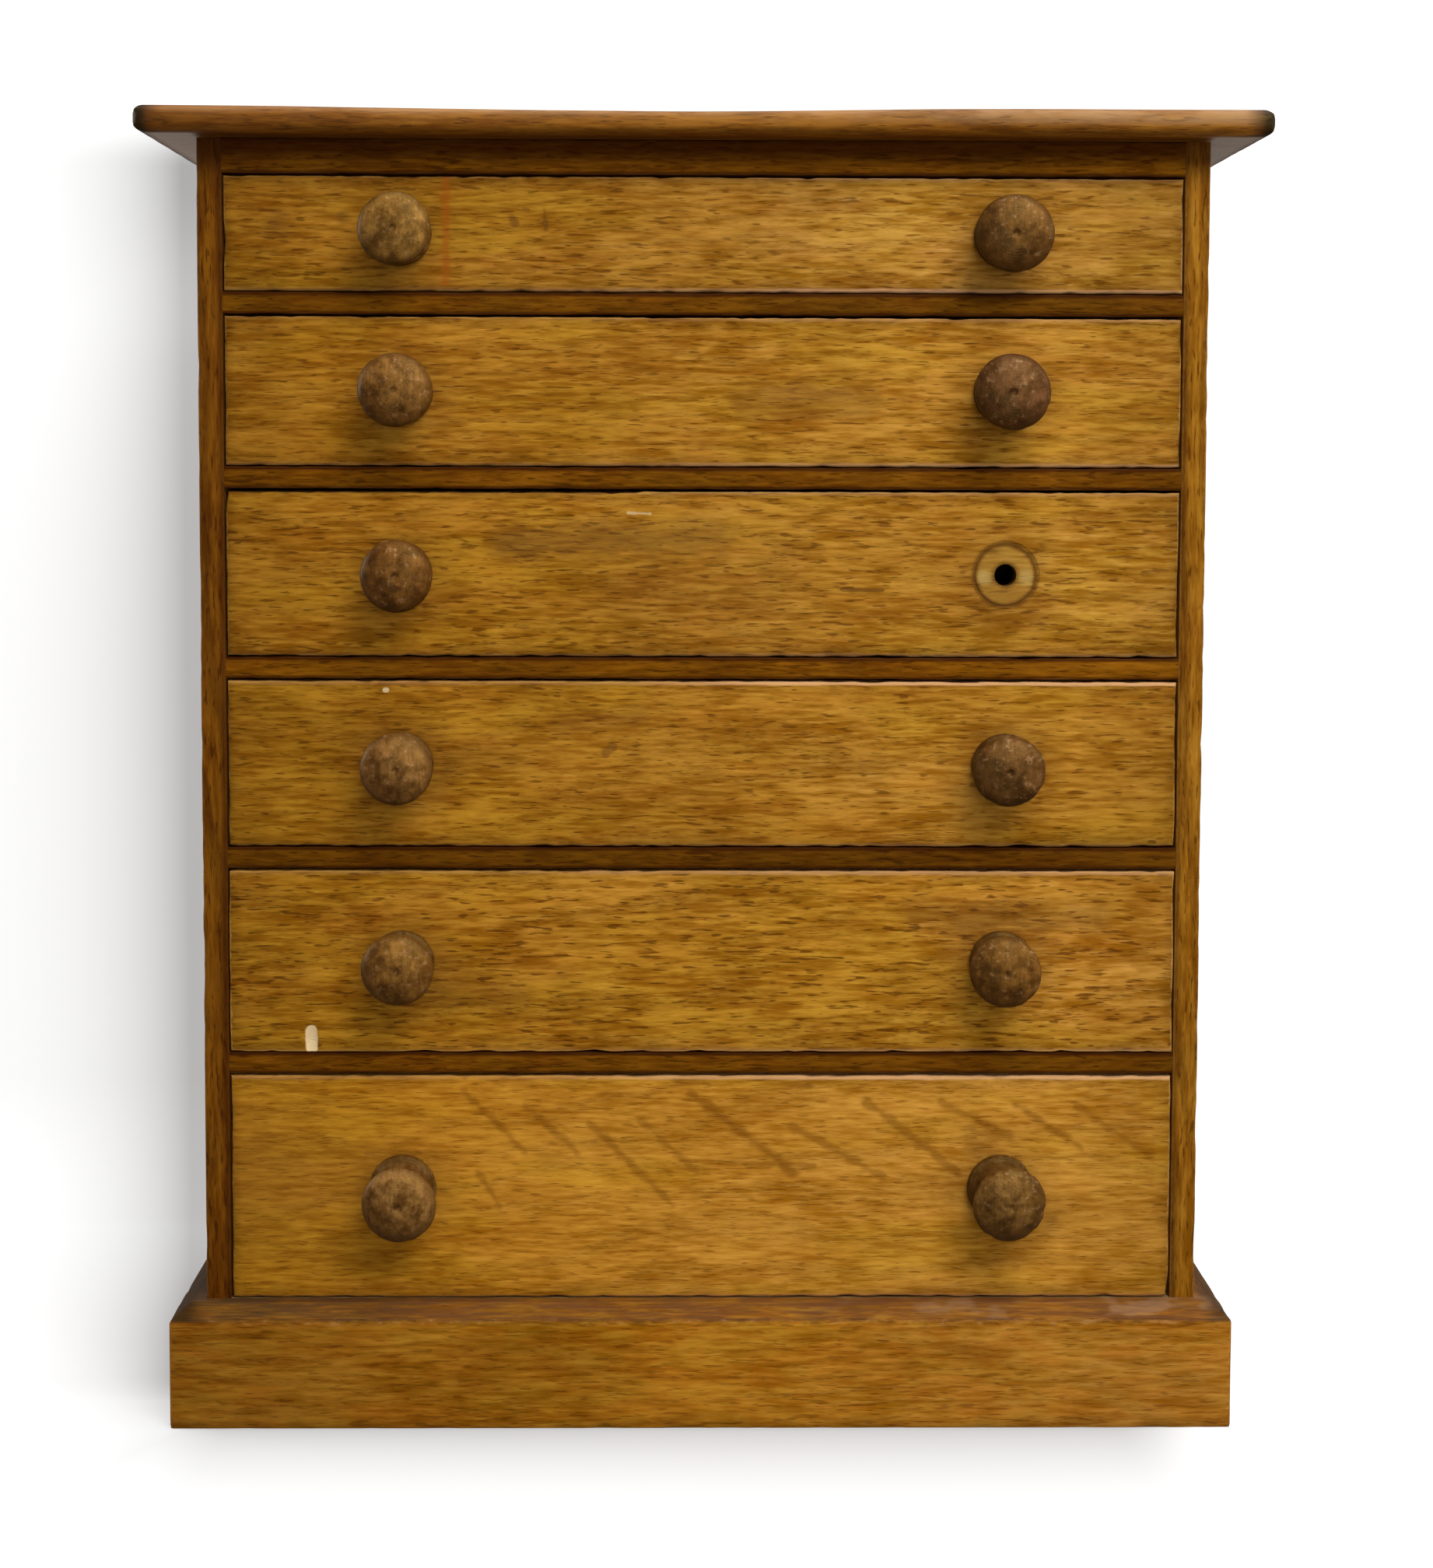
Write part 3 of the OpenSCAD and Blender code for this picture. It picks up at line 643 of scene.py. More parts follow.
def rail_material(node, number):
    def shaded(n, place, colour):
        """Patches of old polish along each rail, dirt and painted shade in its two joints, a painted shadow
        under the overhang, and darker towards the top rail's left end.
        """
        x, _, z = n.split(place)
        tone = n.band(x, -130, 130, *RAIL_TONES[number])
        colour = n.add("VectorMath", {0: colour, "Scale": tone}, operation="SCALE").outputs[0]
        patches = n.band(n.noise(n.vector("ADD", place, (number * 50, 0, 0)), (38, 20, 9), 2), 0.4, 0.62)
        colour = n.mix(n.times(patches, 0.35), colour, n.tinted(colour, (1.55, 1.5, 1.6, 1)))
        low, high = box_mm(node)
        # Dirt and painted shade along the lower joint
        colour = n.mix(n.band(n.minus(z, low.z), 1.3, 0.5, 0, 0.7), colour, SOOT_AND_SHADE)
        if node == "top_rail":
            middle = (low.z + high.z) / 2
            # Painted shadow of the top's overhang over the upper half of the top rail
            colour = n.mix(n.band(z, middle - 2, middle + 2.5, 0, 0.75), colour, SOOT_AND_SHADE)
            colour = n.mix(n.band(x, -110, -150, 0, 0.3), colour, SOOT_AND_SHADE)
        else:
            # Dirt and painted shade along the upper joint, under the drawer above
            colour = n.mix(n.band(n.minus(high.z, z), 1.7, 0.6, 0, 0.85), colour, SOOT_AND_SHADE)
        return colour

    return wood_material(
        f"oak_{node}", BROWN, offset=(number * 157, 11, number * 19), heart=40,
        spacing=4, rings=0.3, flecks=0.6, olive=0.3, rough=0.46, shine=0.1, edges=(box_mm(node), (Z,)),
        soil=(2.6, 0.7), arris=0.2, grime=0.8, marks=shaded,
    )


def side_material(side):
    node = f"{side}_side"
    low, high = box_mm(node)
    # Strength of the dirt and painted shade along each board's inner edge, and a shift of its figure
    dirt, depth = (0.65, 40) if side == "left" else (0.45, -25)

    def shaded(n, place, colour):
        """The left board's front edge is painted darker and the right one's lighter, as light falls from the
        right; both edges are dirty and painted darker towards the drawers, and painted darker under the
        overhang.
        """
        x, y, z = n.split(place)
        edge = n.band(n.plus(y, n.noise(place, (6, 6, 20), 2)), low.y + 3, low.y + 1)
        # Painted shade on the left front edge and painted light on the right one
        tint = (0.7, 0.53, 0.28, 1) if side == "left" else (1.25, 1.18, 1.1, 1)
        colour = n.mix(edge, colour, n.tinted(colour, tint))
        # Dirt and painted shade along the inner edge, beside the drawers
        inner = n.minus(n.math("ABSOLUTE", x), min(abs(low.x), abs(high.x)))
        inner = n.band(n.plus(inner, n.noise(place, (6, 6, 20), 2)), 3.4, 1.2, 0, dirt)
        colour = n.mix(n.times(inner, edge), colour, SOOT_AND_SHADE)
        # Painted shadow of the overhang at the top of the front edge
        overhang_shadow = n.band(z, high.z - 14, high.z - 2, 0, 0.6)
        return n.mix(n.times(overhang_shadow, edge), colour, SOOT_AND_SHADE)

    return wood_material(
        f"oak_{node}", shifted(GOLD, 0.72), grain="zxy", offset=(13, 4, depth), heart=90, spacing=7,
        rings=0.7, flecks=0.75, olive=0.2, shine=0.15, edges=((low, high), (X,)), soil=(3, 0.5), arris=0.25,
        grime=0.3, marks=shaded,
    )


def nosing_wear_and_light(n, place, colour):
    """Pale along the top of the nosing with wear and a painted highlight, a painted sheen towards the right,
    painted shade low on it, towards the left and at its front ends, and painted bounce light on the
    underside of its ends.
    """
    parts = n.split(place)
    low, high = box_mm("top_board")
    across = n.math("ABSOLUTE", parts[X])
    rim = n.math("MINIMUM", n.minus(parts[Y], low.y), n.minus(high.x, across))
    patches = n.noise(place, (26, 26, 6), 3, 0.6)
    # Wear and a painted highlight along the top
    pale = n.times(n.band(parts[Z], high.z - 3.4, high.z - 1.2), n.band(rim, 7, 1.5))
    colour = n.mix(n.times(pale, n.band(patches, 0.35, 0.62, 0.1, 0.7)), colour, srgb(180, 130, 80))
    # Painted shade low on the nosing
    under = n.times(n.band(parts[Z], low.z + 3.2, low.z + 0.8), n.band(patches, 0.3, 0.6, 0.4, 0.9))
    colour = n.mix(n.times(under, 0.1), colour, srgb(62, 30, 6))
    # Painted sheen over the nosing, stronger towards the right
    upper_sheen = n.times(n.band(parts[X], 0, 120, 0.15, 1), n.band(parts[Z], low.z + 2.5, low.z + 5))
    upper_sheen = n.times(n.times(upper_sheen, n.band(rim, 7, 2)), n.band(patches, 0.35, 0.6, 0.35, 1))
    colour = n.mix(n.times(upper_sheen, 0.68), colour, srgb(150, 114, 80))
    # Painted shade towards the left end
    left = n.tinted(colour, (0.66, 0.56, 0.45, 1))
    colour = n.mix(n.band(parts[X], -70, -172), colour, left)
    # Painted shade at the front ends, darkest at the very tips
    corner = n.times(n.band(rim, 5, 2), n.band(parts[Y], low.y + 22, low.y + 8, 0.25, 1))
    end = n.times(n.band(n.plus(across, n.times(patches, 4)), 169, 176), corner)
    colour = n.mix(n.times(end, 0.85), colour, srgb(50, 18, 6))
    tip = n.times(n.band(across, 172.0, 174.6), n.band(parts[Y], low.y + 14, low.y + 4))
    colour = n.mix(n.times(tip, 0.9), colour, srgb(14, 6, 0))
    # Painted bounce light on the underside of the overhanging ends
    painted_bounce = n.times(n.band(parts[Z], low.z + 0.6, low.z + 0.2), n.band(rim, 2.5, 6))
    painted_bounce = n.times(painted_bounce, n.band(across, 157, 160, 0, 0.9))
    return n.mix(painted_bounce, colour, srgb(170, 144, 120))


def top_material():
    return wood_material(
        "oak_top", shifted(RUSSET, 0.9), grain="xzy", offset=(77, -400, 30), heart=95, spacing=6.5,
        rings=0.6, flecks=0.6, olive=0.0, grime=0.3, rough=0.34, shine=0.35, marks=nosing_wear_and_light,
    )


def bevel_band(n, place, colour):
    """Dull dark streaks along the plinth's bevel, worn spots on its lip, painted shade towards the left end
    and on the returns, and a painted sheen towards the right.
    """
    x, _, z = n.split(place)
    # Painted shade towards the left end and a bluish painted sheen towards the right
    left_tint = n.tinted(colour, (0.6, 0.56, 0.62, 1))
    right_tint = n.tinted(colour, (1.02, 1.04, 1.9, 1))
    colour = n.mix(n.band(x, -160, -20), left_tint, n.mix(n.band(x, -20, 140), colour, right_tint))
    mottle = n.noise(n.vector("ADD", place, (7, 3, 90)), (16, 16, 5), 2, 0.6)
    colour = n.mix(n.band(mottle, 0.42, 0.6, 0.5, 0), colour, n.tinted(colour, (0.98, 0.76, 0.55, 1)))
    streak = n.noise(place, (16, 16, 0.8), 2, 0.6)
    left = n.band(n.plus(x, n.times(streak, 60)), -20, -120)
    band = n.times(n.band(z, 34.2, 35.2), n.band(streak, 0.3, 0.7, 0.3, 0.95))
    colour = n.mix(band, colour, n.mix(left, srgb(104, 64, 36), srgb(72, 50, 29)))
    worn = n.times(n.times(n.band(x, 20, 110), n.band(z, 34.6, 36)), n.band(mottle, 0.5, 0.62))
    colour = n.mix(n.times(worn, 0.5), colour, srgb(150, 114, 84))
    # Painted shade on the bevel's returns at both ends
    corner = n.math("MAXIMUM", n.band(x, -158, -166), n.band(x, 160, 167, 0, 0.75))
    corner = n.times(corner, n.band(z, 34.2, 35.2))
    colour = n.mix(n.times(corner, 0.88), colour, srgb(46, 30, 12))
    lip = n.times(n.band(z, 33.0, 34.4), n.band(z, 36.0, 35.0))
    spots = n.noise(place, (5, 5, 1.6), 2, 0.6)
    colour = n.mix(n.times(lip, n.band(spots, 0.52, 0.36, 0.1, 0.45)), colour, srgb(70, 42, 16))
    return n.mix(n.times(lip, n.band(spots, 0.56, 0.7, 0, 0.4)), colour, srgb(176, 132, 82))


def plinth_material(node, grain, seed):
    return wood_material(
        f"oak_{node}", shifted(GOLD, 1.1), grain=grain, offset=(seed * 90, seed * 21, seed * 9), heart=60,
        spacing=5, rings=0.25, flecks=0.4, olive=0.3, russet=0.3, contrast=0.7, shine=0.1,
        edges=(box_mm(node), (Z,)), arris=0.1, grime=0.4, marks=bevel_band,
    )


def lining_material(name, grain, seed, tone=1.0):
    return wood_material(
        name, shifted(PINE, tone), grain=grain, offset=(seed * 61, seed * 13, seed * 17), heart=50,
        spacing=4.2, rings=0.4, flecks=0.28, olive=0.2, russet=0.3, contrast=0.7, rough=0.6, grime=0.3,
    )


def knob_material(name, middle, seed, tint):
    """Turned hardwood, painted lighter towards the upper right and darker towards the lower left as the
    light falls, dirty in the hollow, round the rim and at the centre.
    """
    material, n, shader, place = new_material(name)
    own = n.vector("SUBTRACT", place, tuple(middle))
    seeded = n.vector("ADD", own, (seed * 31, seed * 17, seed * 7))
    parts = n.split(own)
    around = n.vector("LENGTH", n.vector("MULTIPLY", own, (1, 0, 1)))
    blotch = n.noise(seeded, (5, 8, 5), 3, 0.65)
    speck = n.noise(n.vector("ADD", seeded, (9, 4, 2)), (2.0, 2.4, 2.0), 2, 0.6)
    grain = n.noise(seeded, (0.7, 9, 6), 2, 0.6)
    base = n.mix(n.band(blotch, 0.3, 0.7), srgb(86, 54, 12), srgb(138, 100, 44))
    base = n.tinted(base, tint)
    base = n.mix(n.band(grain, 0.45, 0.75, 0, 0.45), base, srgb(70, 40, 18))
    base = n.mix(n.band(speck, 0.56, 0.72, 0, 0.4), base, srgb(162, 124, 84))
    base = n.mix(n.band(speck, 0.42, 0.3, 0, 0.5), base, srgb(58, 32, 16))
    # Painted light and shade across the knob, lighter towards the upper right
    lit_slant = n.plus(n.times(parts[X], 0.6), n.times(parts[Z], 0.8))
    lit_slant = n.plus(lit_slant, n.times(n.minus(blotch, 0.5), 14))
    base = n.tinted(base, n.mix(n.band(lit_slant, -9, 9), (0.52, 0.44, 0.38, 1), (1.4, 1.4, 1.55, 1)))
    hollow = n.band(parts[Y], -15.5, -9)
    base = n.mix(n.times(hollow, 0.6), base, GRIME)
    rim = n.times(n.band(around, 9.2, 11), n.band(parts[Y], -13, -17))
    base = n.mix(n.times(rim, n.band(blotch, 0.35, 0.6, 0.15, 0.55)), base, GRIME)
    centre = n.times(n.band(around, 1.5, 0.5), n.band(parts[Y], -18, -20))
    base = n.mix(n.times(centre, n.band(blotch, 0.35, 0.6, 0.2, 0.6)), base, srgb(52, 28, 10))
    n.put(shader.inputs["Base Color"], base)
    n.put(shader.inputs["Roughness"], n.math("MULTIPLY_ADD", blotch, 0.2, 0.36))
    shader.inputs["Specular IOR Level"].default_value = 0.3
    shader.inputs["Specular Tint"].default_value = WAX
    lines = n.math("SINE", n.times(around, 7))
    height = n.math("MULTIPLY_ADD", lines, 0.05, n.math("MULTIPLY_ADD", speck, 0.6, n.times(grain, 0.5)))
    add_relief(n, shader, height, 0.5, 0.4 * MM)
    return material


def iron_material():
    material, n, shader, place = new_material("rusted_iron")
    rust = n.noise(place, (0.8, 0.8, 0.8), 3, 0.6)
    n.put(shader.inputs["Base Color"], n.mix(n.band(rust, 0.35, 0.65), srgb(52, 40, 34), srgb(104, 62, 38)))
    n.put(shader.inputs["Roughness"], n.band(rust, 0.3, 0.7, 0.45, 0.85))
    shader.inputs["Metallic"].default_value = 0.6
    add_relief(n, shader, rust, 0.6, 0.2 * MM)
    return material


# Worn pieces: a CAD node's mesh with rounded, chafed arrises

WELD = 2e-6
FLAT = math.radians(0.4)
SHARP = 0.4
# Where in each step of a row of cuts the cut lies, so that none falls on an edge
CUT_SHIFT = 0.13


def on(value, place):
    return abs(value - place) < 0.01 * MM


def along(*planes):
    """Accepts an edge whose two ends lie on all these planes, each given as (axis, value)."""
    return lambda a, b: all(on(end[axis], value) for axis, value in planes for end in (a, b))


def welded(node):
    shape = bmesh.new()
    shape.from_mesh(nodes[node].data)
    bmesh.ops.remove_doubles(shape, verts=shape.verts, dist=WELD)
    bmesh.ops.dissolve_limit(shape, angle_limit=FLAT, verts=shape.verts, edges=shape.edges)
    return shape


def round_arrises(shape, chosen, width):
    """Rounds the sharp edges whose two ends chosen() accepts."""
    found = [
        e for e in shape.edges
        if len(e.link_faces) == 2 and e.calc_face_angle(0) > SHARP and chosen(e.verts[0].co, e.verts[1].co)
    ]
    bmesh.ops.bevel(
        shape, geom=found, offset=width, offset_type="OFFSET", segments=3, profile=0.5, affect="EDGES",
        clamp_overlap=True,
    )


def cut_at(shape, axis, place):
    """Cuts the mesh where the axis has this value."""
    normal = Vector((0, 0, 0))
    normal[axis] = 1
    whole = shape.verts[:] + shape.edges[:] + shape.faces[:]
    bmesh.ops.bisect_plane(shape, geom=whole, dist=1e-7, plane_co=normal * place, plane_no=normal)


def cut_across(shape, axis, low, high, step):
    """Cuts the mesh by parallel planes, so that it can be dented."""
    count = max(1, round((high - low) / step))
    for i in range(1, count):
        cut_at(shape, axis, low + (high - low) * (i + CUT_SHIFT) / count)


def unevenness(where, share, pitch, extra=0.0):
    """Noise of two scales, never below zero: how far the wood is gone at a place."""
    return max(0.0, noise.noise(where) + share * noise.noise(where * pitch) + extra)


def rounded(da, db, radius):
    """Distances from a corner's two edges once the corner is round, or None where nothing changes."""
    out = Vector((radius - da, radius - db))
    if da < radius and db < radius and out.length > radius:
        out = out.normalized() * radius
        return radius - out.x, radius - out.y
    return None


def dent(shape, low, high, reach, depth, seed):
    """Presses the vertices near the bottom and the top inward, by uneven amounts."""
    for v in shape.verts:
        for end, way in ((low, 1), (high, -1)):
            if abs(v.co.z - end) < reach:
                where = v.co / MM / 7 + Vector((seed * 3.7, Z * 5.1, way * 2.3))
                v.co.z += way * depth * unevenness(where, 0.45, 3.1, -0.05)


def finish_piece(shape, node, name, material, smooth=35):
    limit = math.radians(smooth)
    for f in shape.faces:
        f.smooth = True
    for e in shape.edges:
        e.smooth = len(e.link_faces) == 2 and e.calc_face_angle(0) < limit
    mesh = bpy.data.meshes.new(name)
    shape.to_mesh(mesh)
    shape.free()
    mesh.materials.append(material)
    piece = bpy.data.objects.new(name, mesh)
    scene.collection.objects.link(piece)
    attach(piece, nodes[node]["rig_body"])
    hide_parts(node)
    return piece


def make_front(drawer):
    node = f"drawer_{drawer}_front"
    low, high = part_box(node)
    shape = welded(node)

    def face_edge(a, b):
        if not (on(a.y, low.y) and on(b.y, low.y)):
            return False
        return any(on(a[k], end[k]) and on(b[k], end[k]) for k in (X, Z) for end in (low, high))

    round_arrises(shape, face_edge, width=1.05 * MM)
    cut_across(shape, X, low.x, high.x, 2.6 * MM)
    cut_across(shape, Z, low.z, high.z, 7 * MM)
    reach = 1.2 * MM
    for v in shape.verts:
        co = v.co
        nearest = min(co.x - low.x, high.x - co.x, co.z - low.z, high.z - co.z)
        if co.y - low.y < reach and nearest < reach:
            where = co / MM / 6 + Vector((drawer * 9.1, 0, drawer * 4.3))
            worn = 0.55 * MM * unevenness(where, 0.5, 2.7, 0.1)
            if drawer == LOST_KNOB_DRAWER and co.x < -20 * MM and high.z - co.z < reach:
                worn += 0.45 * MM  # its upper edge is worn down at the left
            co.y += worn * 0.8
            co.x += worn * (1 if co.x - low.x < reach else -1 if high.x - co.x < reach else 0)
            co.z += worn * (1 if co.z - low.z < reach else -1 if high.z - co.z < reach else 0)
        elif co.y - low.y < 0.01 * MM:
            co.y += 0.1 * MM * (0.5 + noise.noise(co / MM / 34 + Vector((drawer * 5.0, 0, 0))))
    if drawer == LOWEST:
        for v in shape.verts:
            moved = rounded(high.x - v.co.x, v.co.z - low.z, 3.2 * MM)
            if moved and v.co.y < low.y + 2 * MM:
                v.co.x, v.co.z = high.x - moved[0], low.z + moved[1]
    finish_piece(shape, node, f"worn_front_{drawer}", front_material(drawer))


def make_rail(node, number):
    low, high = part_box(node)
    shape = welded(node)

    def face_edge(a, b):
        return on(a.y, low.y) and on(b.y, low.y) and on(a.z, b.z)

    round_arrises(shape, face_edge, width=0.45 * MM)
    cut_across(shape, X, low.x, high.x, 3 * MM)
    reach = 0.6 * MM
    for v in shape.verts:
        co = v.co
        if co.y - low.y < reach and min(co.z - low.z, high.z - co.z) < reach:
            where = co / MM / 7 + Vector((number * 7.3, 0, number * 2.9))
            worn = 0.4 * MM * unevenness(where, 0.4, 3, 0.05)
            co.y += worn
            co.z += worn * (1 if co.z - low.z < reach else -1)
    finish_piece(shape, node, f"worn_{node}", rail_material(node, number))


def make_side(side):
    node = f"{side}_side"
    low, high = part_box(node)
    outer = low.x if side == "left" else high.x
    inner = high.x if side == "left" else low.x
    shape = welded(node)
    for x, y, width in ((outer, low.y, 0.7), (inner, low.y, 0.25), (outer, high.y, 0.7)):
        round_arrises(shape, along((X, x), (Y, y)), width * MM)
    cut_across(shape, Z, low.z, high.z, 4 * MM)
    cut_across(shape, Y, low.y, high.y, 18 * MM)
    reach = 0.8 * MM
    for v in shape.verts:
        co = v.co
        if abs(co.x - outer) < reach and min(co.y - low.y, high.y - co.y) < reach:
            where = co / MM / 9 + Vector((4.1, 0, 0))
            worn = 0.5 * MM * unevenness(where, 0.4, 3, 0.05)
            co.x += worn * (1 if side == "left" else -1)
            co.y += worn * (1 if co.y < 0 else -1)
    finish_piece(shape, node, f"worn_{node}", side_material(side))


# The top has sunk a little along its front edge: by how much, where, and how far left, right and back
SAG, SAG_AT, SAG_REACH, SAG_BACK = 1.25 * MM, -10 * MM, (166 * MM, 114 * MM), 130 * MM


def make_top():
    node = "top_board"
    low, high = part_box(node)
    shape = welded(node)
    round_arrises(shape, along((Y, high.y)), width=0.8 * MM)
    cut_across(shape, X, low.x, high.x, 4 * MM)
    cut_across(shape, Y, low.y, high.y, 6 * MM)
    corner, reach = 2.4 * MM, 5 * MM
    cut_across(shape, Y, low.y, low.y + corner, corner / 3)
    for start in (low.x, high.x - corner):
        cut_across(shape, X, start, start + corner, corner / 3)
    for v in shape.verts:
        co = v.co
        side = 1 if co.x > 0 else -1
        moved = rounded(high.x - abs(co.x), co.y - low.y, corner)
        if moved:
            co.x, co.y = side * (high.x - moved[0]), low.y + moved[1]
        edge = min(high.x - abs(co.x), co.y - low.y)
        if edge < reach:
            worn = 0.5 * MM * unevenness(co / MM / 11, 0.5, 2.9) * (1 - edge / reach)
            if high.x - abs(co.x) < reach:
                co.x -= side * worn
            if co.y - low.y < reach:
                co.y += worn
        share = (co.z - low.z) / (high.z - low.z)
        away = co.x - SAG_AT
        bow = 0.5 + 0.5 * math.cos(math.pi * min(1, abs(away) / SAG_REACH[away > 0]))
        co.z -= SAG * share * bow * max(0.0, 1 - (co.y - low.y) / SAG_BACK)
        if share > 0.5:
            co.z -= 0.12 * MM * (0.5 + 0.5 * noise.noise(co / MM / 30))
    finish_piece(shape, node, "worn_top", top_material())


# The plinth's bevel: where it starts, and how far it leans back for each unit of height
BEVEL_LOW, BEVEL_SLOPE = 34.8 * MM, 6 / 4.7


def make_plinth(node, grain, seed):
    low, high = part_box(node)
    outline_low, outline_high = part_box("plinth_front")
    shape = welded(node)
    cut_across(shape, X, low.x, high.x, 4 * MM if node == "plinth_front" else 3 * MM)
    cut_across(shape, Y, low.y, high.y, 3 * MM if node == "plinth_front" else 5 * MM)
    cut_across(shape, Z, low.z, high.z, 4 * MM)
    wide, front = outline_high.x, outline_low.y
    radius, surface, near_lip = 1.6 * MM, 0.3 * MM, 0.5 * MM
    for fine in (0.5 * MM, 1.0 * MM, radius):
        for axis, place in ((X, wide - fine), (X, -wide + fine), (Y, front + fine)):
            cut_at(shape, axis, place)
    for place in (0.8 * MM, BEVEL_LOW - 0.8 * MM, BEVEL_LOW + 0.7 * MM, high.z - 0.7 * MM):
        cut_at(shape, Z, place)
    for v in shape.verts:
        co = v.co
        back = max(0.0, co.z - BEVEL_LOW) * BEVEL_SLOPE
        side = 1 if co.x > 0 else -1
        da, db = wide - back - abs(co.x), co.y - front - back
        moved = rounded(da, db, radius)
        if moved:
            da, db = moved
            co.x, co.y = side * (wide - back - da), front + back + db
        if min(da, db) < surface:
            where = co / MM / 8 + Vector((seed * 3.0, 0, 0))
            lip = min(abs(co.z - BEVEL_LOW), co.z, high.z - co.z) < near_lip
            worn = (0.7 if lip else 0.12) * MM * unevenness(where, 0.5, 2.7) + (0.25 * MM if lip else 0)
            if db < surface:
                co.y += worn
            if da < surface:
                co.x -= side * worn
    finish_piece(shape, node, f"worn_{node}", plinth_material(node, grain, seed), 25)


def make_lining(drawer, part, grain, seed):
    node = f"drawer_{drawer}_{part}"
    low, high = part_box(node)
    shape = welded(node)
    round_arrises(shape, along((Z, high.z)), width=0.6 * MM)
    lengthways = X if part == "back" else Y
    cut_across(shape, lengthways, low[lengthways], high[lengthways], 6 * MM)
    dent(shape, low.z, high.z, 0.7 * MM, 0.35 * MM, seed)
    material = lining_material(f"pine_{node}", grain, seed, (0.94, 1.0, 1.05)[seed % 3])
    finish_piece(shape, node, f"worn_{node}", material)


# Knobs, turned from a profile of (radius, place along the axis) in millimetres, from the tenon to the crown

KNOB_PROFILE = [
    (0, 8.4), (3.0, 8.4), (3.4, 8.0), (3.4, 0), (9.4, 0), (10.1, -0.25), (10.4, -1.3), (10.1, -2.3),
    (9.2, -2.75), (8.6, -3.6), (8.1, -5.6), (7.95, -8.2), (8.1, -11), (8.8, -13.6), (9.9, -15.5),
    (10.9, -16.6), (11.4, -17.6), (11.35, -18.7), (10.7, -19.7), (9.5, -20.5), (7.6, -21.2), (5.2, -21.75),
    (3.0, -22.0), (1.7, -22.02), (1.1, -21.85), (0.6, -21.45), (0, -21.3),
]
SHARP_UNTIL = 4
AROUND = 96
# A worn, leaning knob is a little shorter, and its crown stays behind the end of the CAD one
KNOB_SHORTER, KNOB_END = 0.99, -22.4


def turned_outline():
    """The profile with its curved stretch drawn by smooth curves through its points."""
    points = [Vector(p) for p in KNOB_PROFILE[: SHARP_UNTIL + 1]]
    curved = [Vector(p) for p in KNOB_PROFILE[SHARP_UNTIL:]]
    for i in range(len(curved) - 1):
        before = curved[max(0, i - 1)]
        a, b = curved[i], curved[i + 1]
        after = curved[min(len(curved) - 1, i + 2)]
        for t in (1 / 3, 2 / 3, 1):
            points.append(
                0.5 * (2 * a + (b - before) * t + (2 * before - 5 * a + 4 * b - after) * t * t
                       + (3 * a - 3 * b + after - before) * t * t * t)
            )
    return points


# One row for each knob: size, share by which it is oval, lean sideways and up in degrees, wear, tint
KNOBS = {
    (1, "left"): (1.0, 0.01, 0.6, -0.5, 0.30, (1.06, 1.08, 0.98, 1)),
    (1, "right"): (1.07, 0.02, -0.2, 2.0, 0.35, (0.60, 0.51, 0.46, 1)),
    (2, "left"): (1.02, 0.015, 0.5, 0.2, 0.40, (0.82, 0.72, 0.68, 1)),
    (2, "right"): (1.05, 0.02, -0.8, 0.2, 0.45, (0.52, 0.41, 0.66, 1)),
    (3, "left"): (1.0, 0.02, 0.9, 0.3, 0.5, (0.64, 0.50, 0.38, 1)),
    (4, "left"): (1.0, 0.01, 0.2, -0.8, 0.35, (0.86, 0.79, 0.87, 1)),
    (4, "right"): (1.0, 0.03, -0.7, 0.7, 0.5, (0.57, 0.49, 0.56, 1)),
    (5, "left"): (1.0, 0.02, 0.2, -1.6, 0.45, (0.83, 0.74, 0.60, 1)),
    (5, "right"): (1.01, 0.04, -2.4, 0.2, 0.55, (0.71, 0.60, 0.44, 1)),
    (6, "left"): (1.06, 0.03, 0.8, 3.6, 0.6, (1.08, 1.05, 1.25, 1)),
    (6, "right"): (1.05, 0.03, 4.0, 3.2, 0.6, (0.76, 0.74, 0.77, 1)),
}


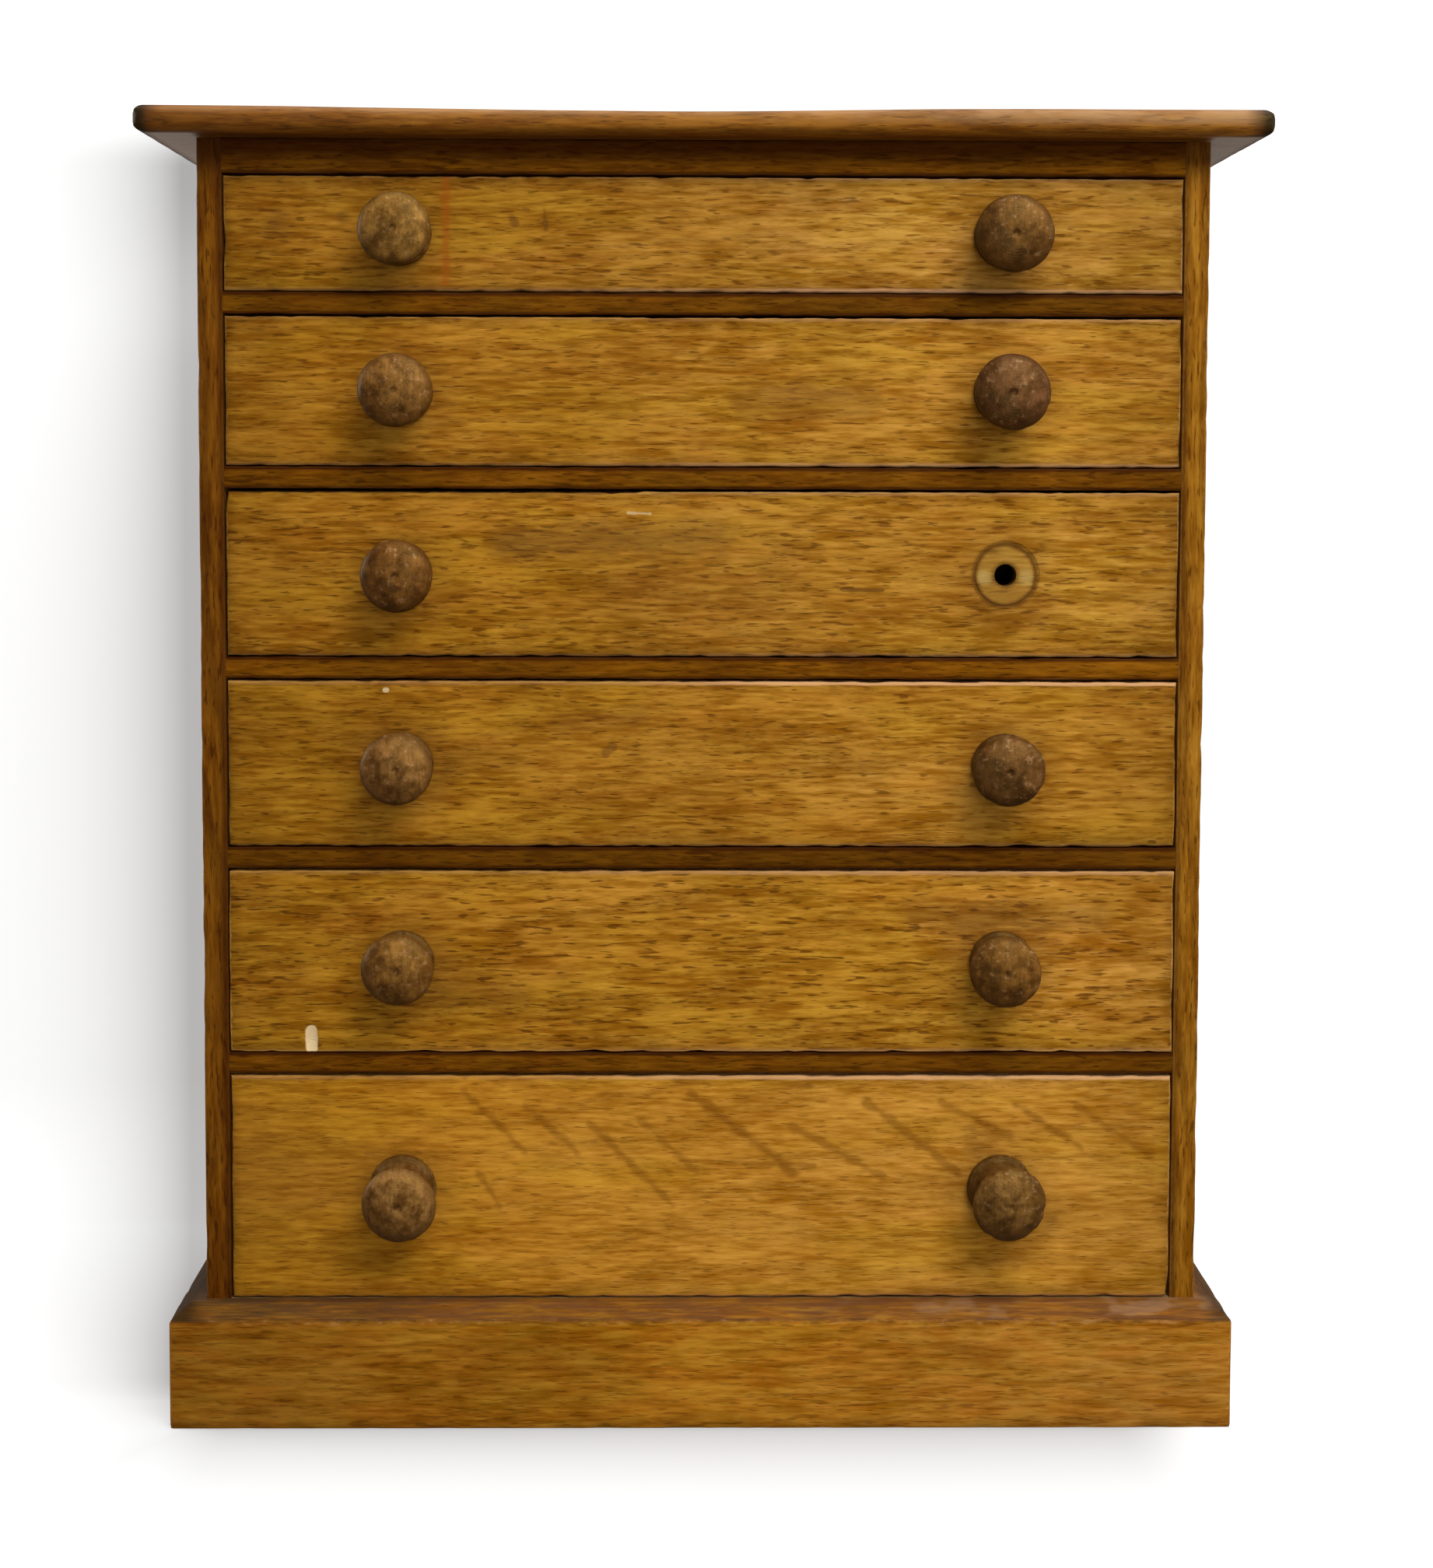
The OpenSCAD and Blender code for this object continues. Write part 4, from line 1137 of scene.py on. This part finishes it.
def make_knob(drawer, side):
    size, oval, lean_x, lean_z, wear, tint = KNOBS[drawer, side]
    node = f"drawer_{drawer}_{side}_knob"
    middle = knob_place(drawer, side)
    seed = drawer * 2 + (side == "right")
    outline = turned_outline()
    shape = bmesh.new()
    rings = []
    for p in outline:
        if p.x == 0:
            rings.append([shape.verts.new((0, p.y, 0))])
            continue
        ring = []
        for i in range(AROUND):
            a = math.tau * i / AROUND
            r = p.x
            if p.y < 0:
                r *= size * (1 - oval * (0.5 + 0.5 * math.cos(2 * a + seed)))
            ring.append(shape.verts.new((r * math.cos(a), p.y, r * math.sin(a))))
        rings.append(ring)
    for a, b in zip(rings, rings[1:]):
        for i in range(AROUND):
            j = (i + 1) % AROUND
            corners = [a[0]] if len(a) == 1 else [a[i], a[j]]
            corners += [b[0]] if len(b) == 1 else [b[j], b[i]]
            shape.faces.new(corners)
    bmesh.ops.recalc_face_normals(shape, faces=shape.faces)
    lean = Matrix.Rotation(math.radians(lean_x), 3, "Z") @ Matrix.Rotation(math.radians(lean_z), 3, "X")
    for v in shape.verts:
        co = v.co.copy()
        if co.y < 0:
            share = min(1, -co.y / 4)
            where = co / 4.5 + Vector((seed * 4.9, 0, seed * 2.3))
            pressed = max(0.0, noise.noise(where) - 0.12) + 0.35 * max(0.0, noise.noise(where * 2.8) - 0.1)
            inward = Vector((-co.x, 0 if co.y > -16 else 6, -co.z)).normalized()
            co += inward * pressed * wear * 1.1 * share
            leaned = lean @ co
            co = co.lerp(leaned, share)
            co.y = max(co.y * KNOB_SHORTER, KNOB_END)
        v.co = (middle + co) * MM
    material = knob_material(f"knob_{drawer}_{side}", middle, seed, tint)
    finish_piece(shape, node, f"turned_knob_{drawer}_{side}", material, 50)


# Build


def paint(node, material):
    data = nodes[node].data
    data.materials.clear()
    data.materials.append(material)


def build():
    make_top()
    for side in SIDES:
        make_side(side)
    make_rail("top_rail", TOP_RAIL)
    for n in RAILS:
        make_rail(f"drawer_rail_{n}", n)
    make_plinth("plinth_front", "xyz", 1)
    make_plinth("plinth_left", "yxz", 2)
    make_plinth("plinth_right", "yxz", 3)
    for n in DRAWERS:
        make_front(n)
        make_lining(n, "left_side", "yxz", n * 3)
        make_lining(n, "right_side", "yxz", n * 3 + 1)
        make_lining(n, "back", "xyz", n * 3 + 2)
        paint(f"drawer_{n}_bottom", lining_material(f"pine_bottom_{n}", "xzy", n + 40, 0.96))
    for drawer, side in KNOBS:
        make_knob(drawer, side)
    paint("back_panel", lining_material("pine_back", "zyx", 60, 0.72))
    paint("bottom_board", lining_material("pine_floor", "xzy", 61, 0.7))
    for node in ("drawer_runners", "top_kickers"):
        paint(node, lining_material(f"pine_{node}", "yxz", 62, 0.72))
    for node in ("drawer_stops", "glue_blocks"):
        paint(node, lining_material(f"pine_{node}", "xyz", 63, 0.8))
    paint("back_pins", iron_material())


make_camera()
make_world()
make_stage()
for lamp_name, settings in LAMPS.items():
    make_lamp(lamp_name, *settings)
build()
scene.view_settings.view_transform = "Standard"
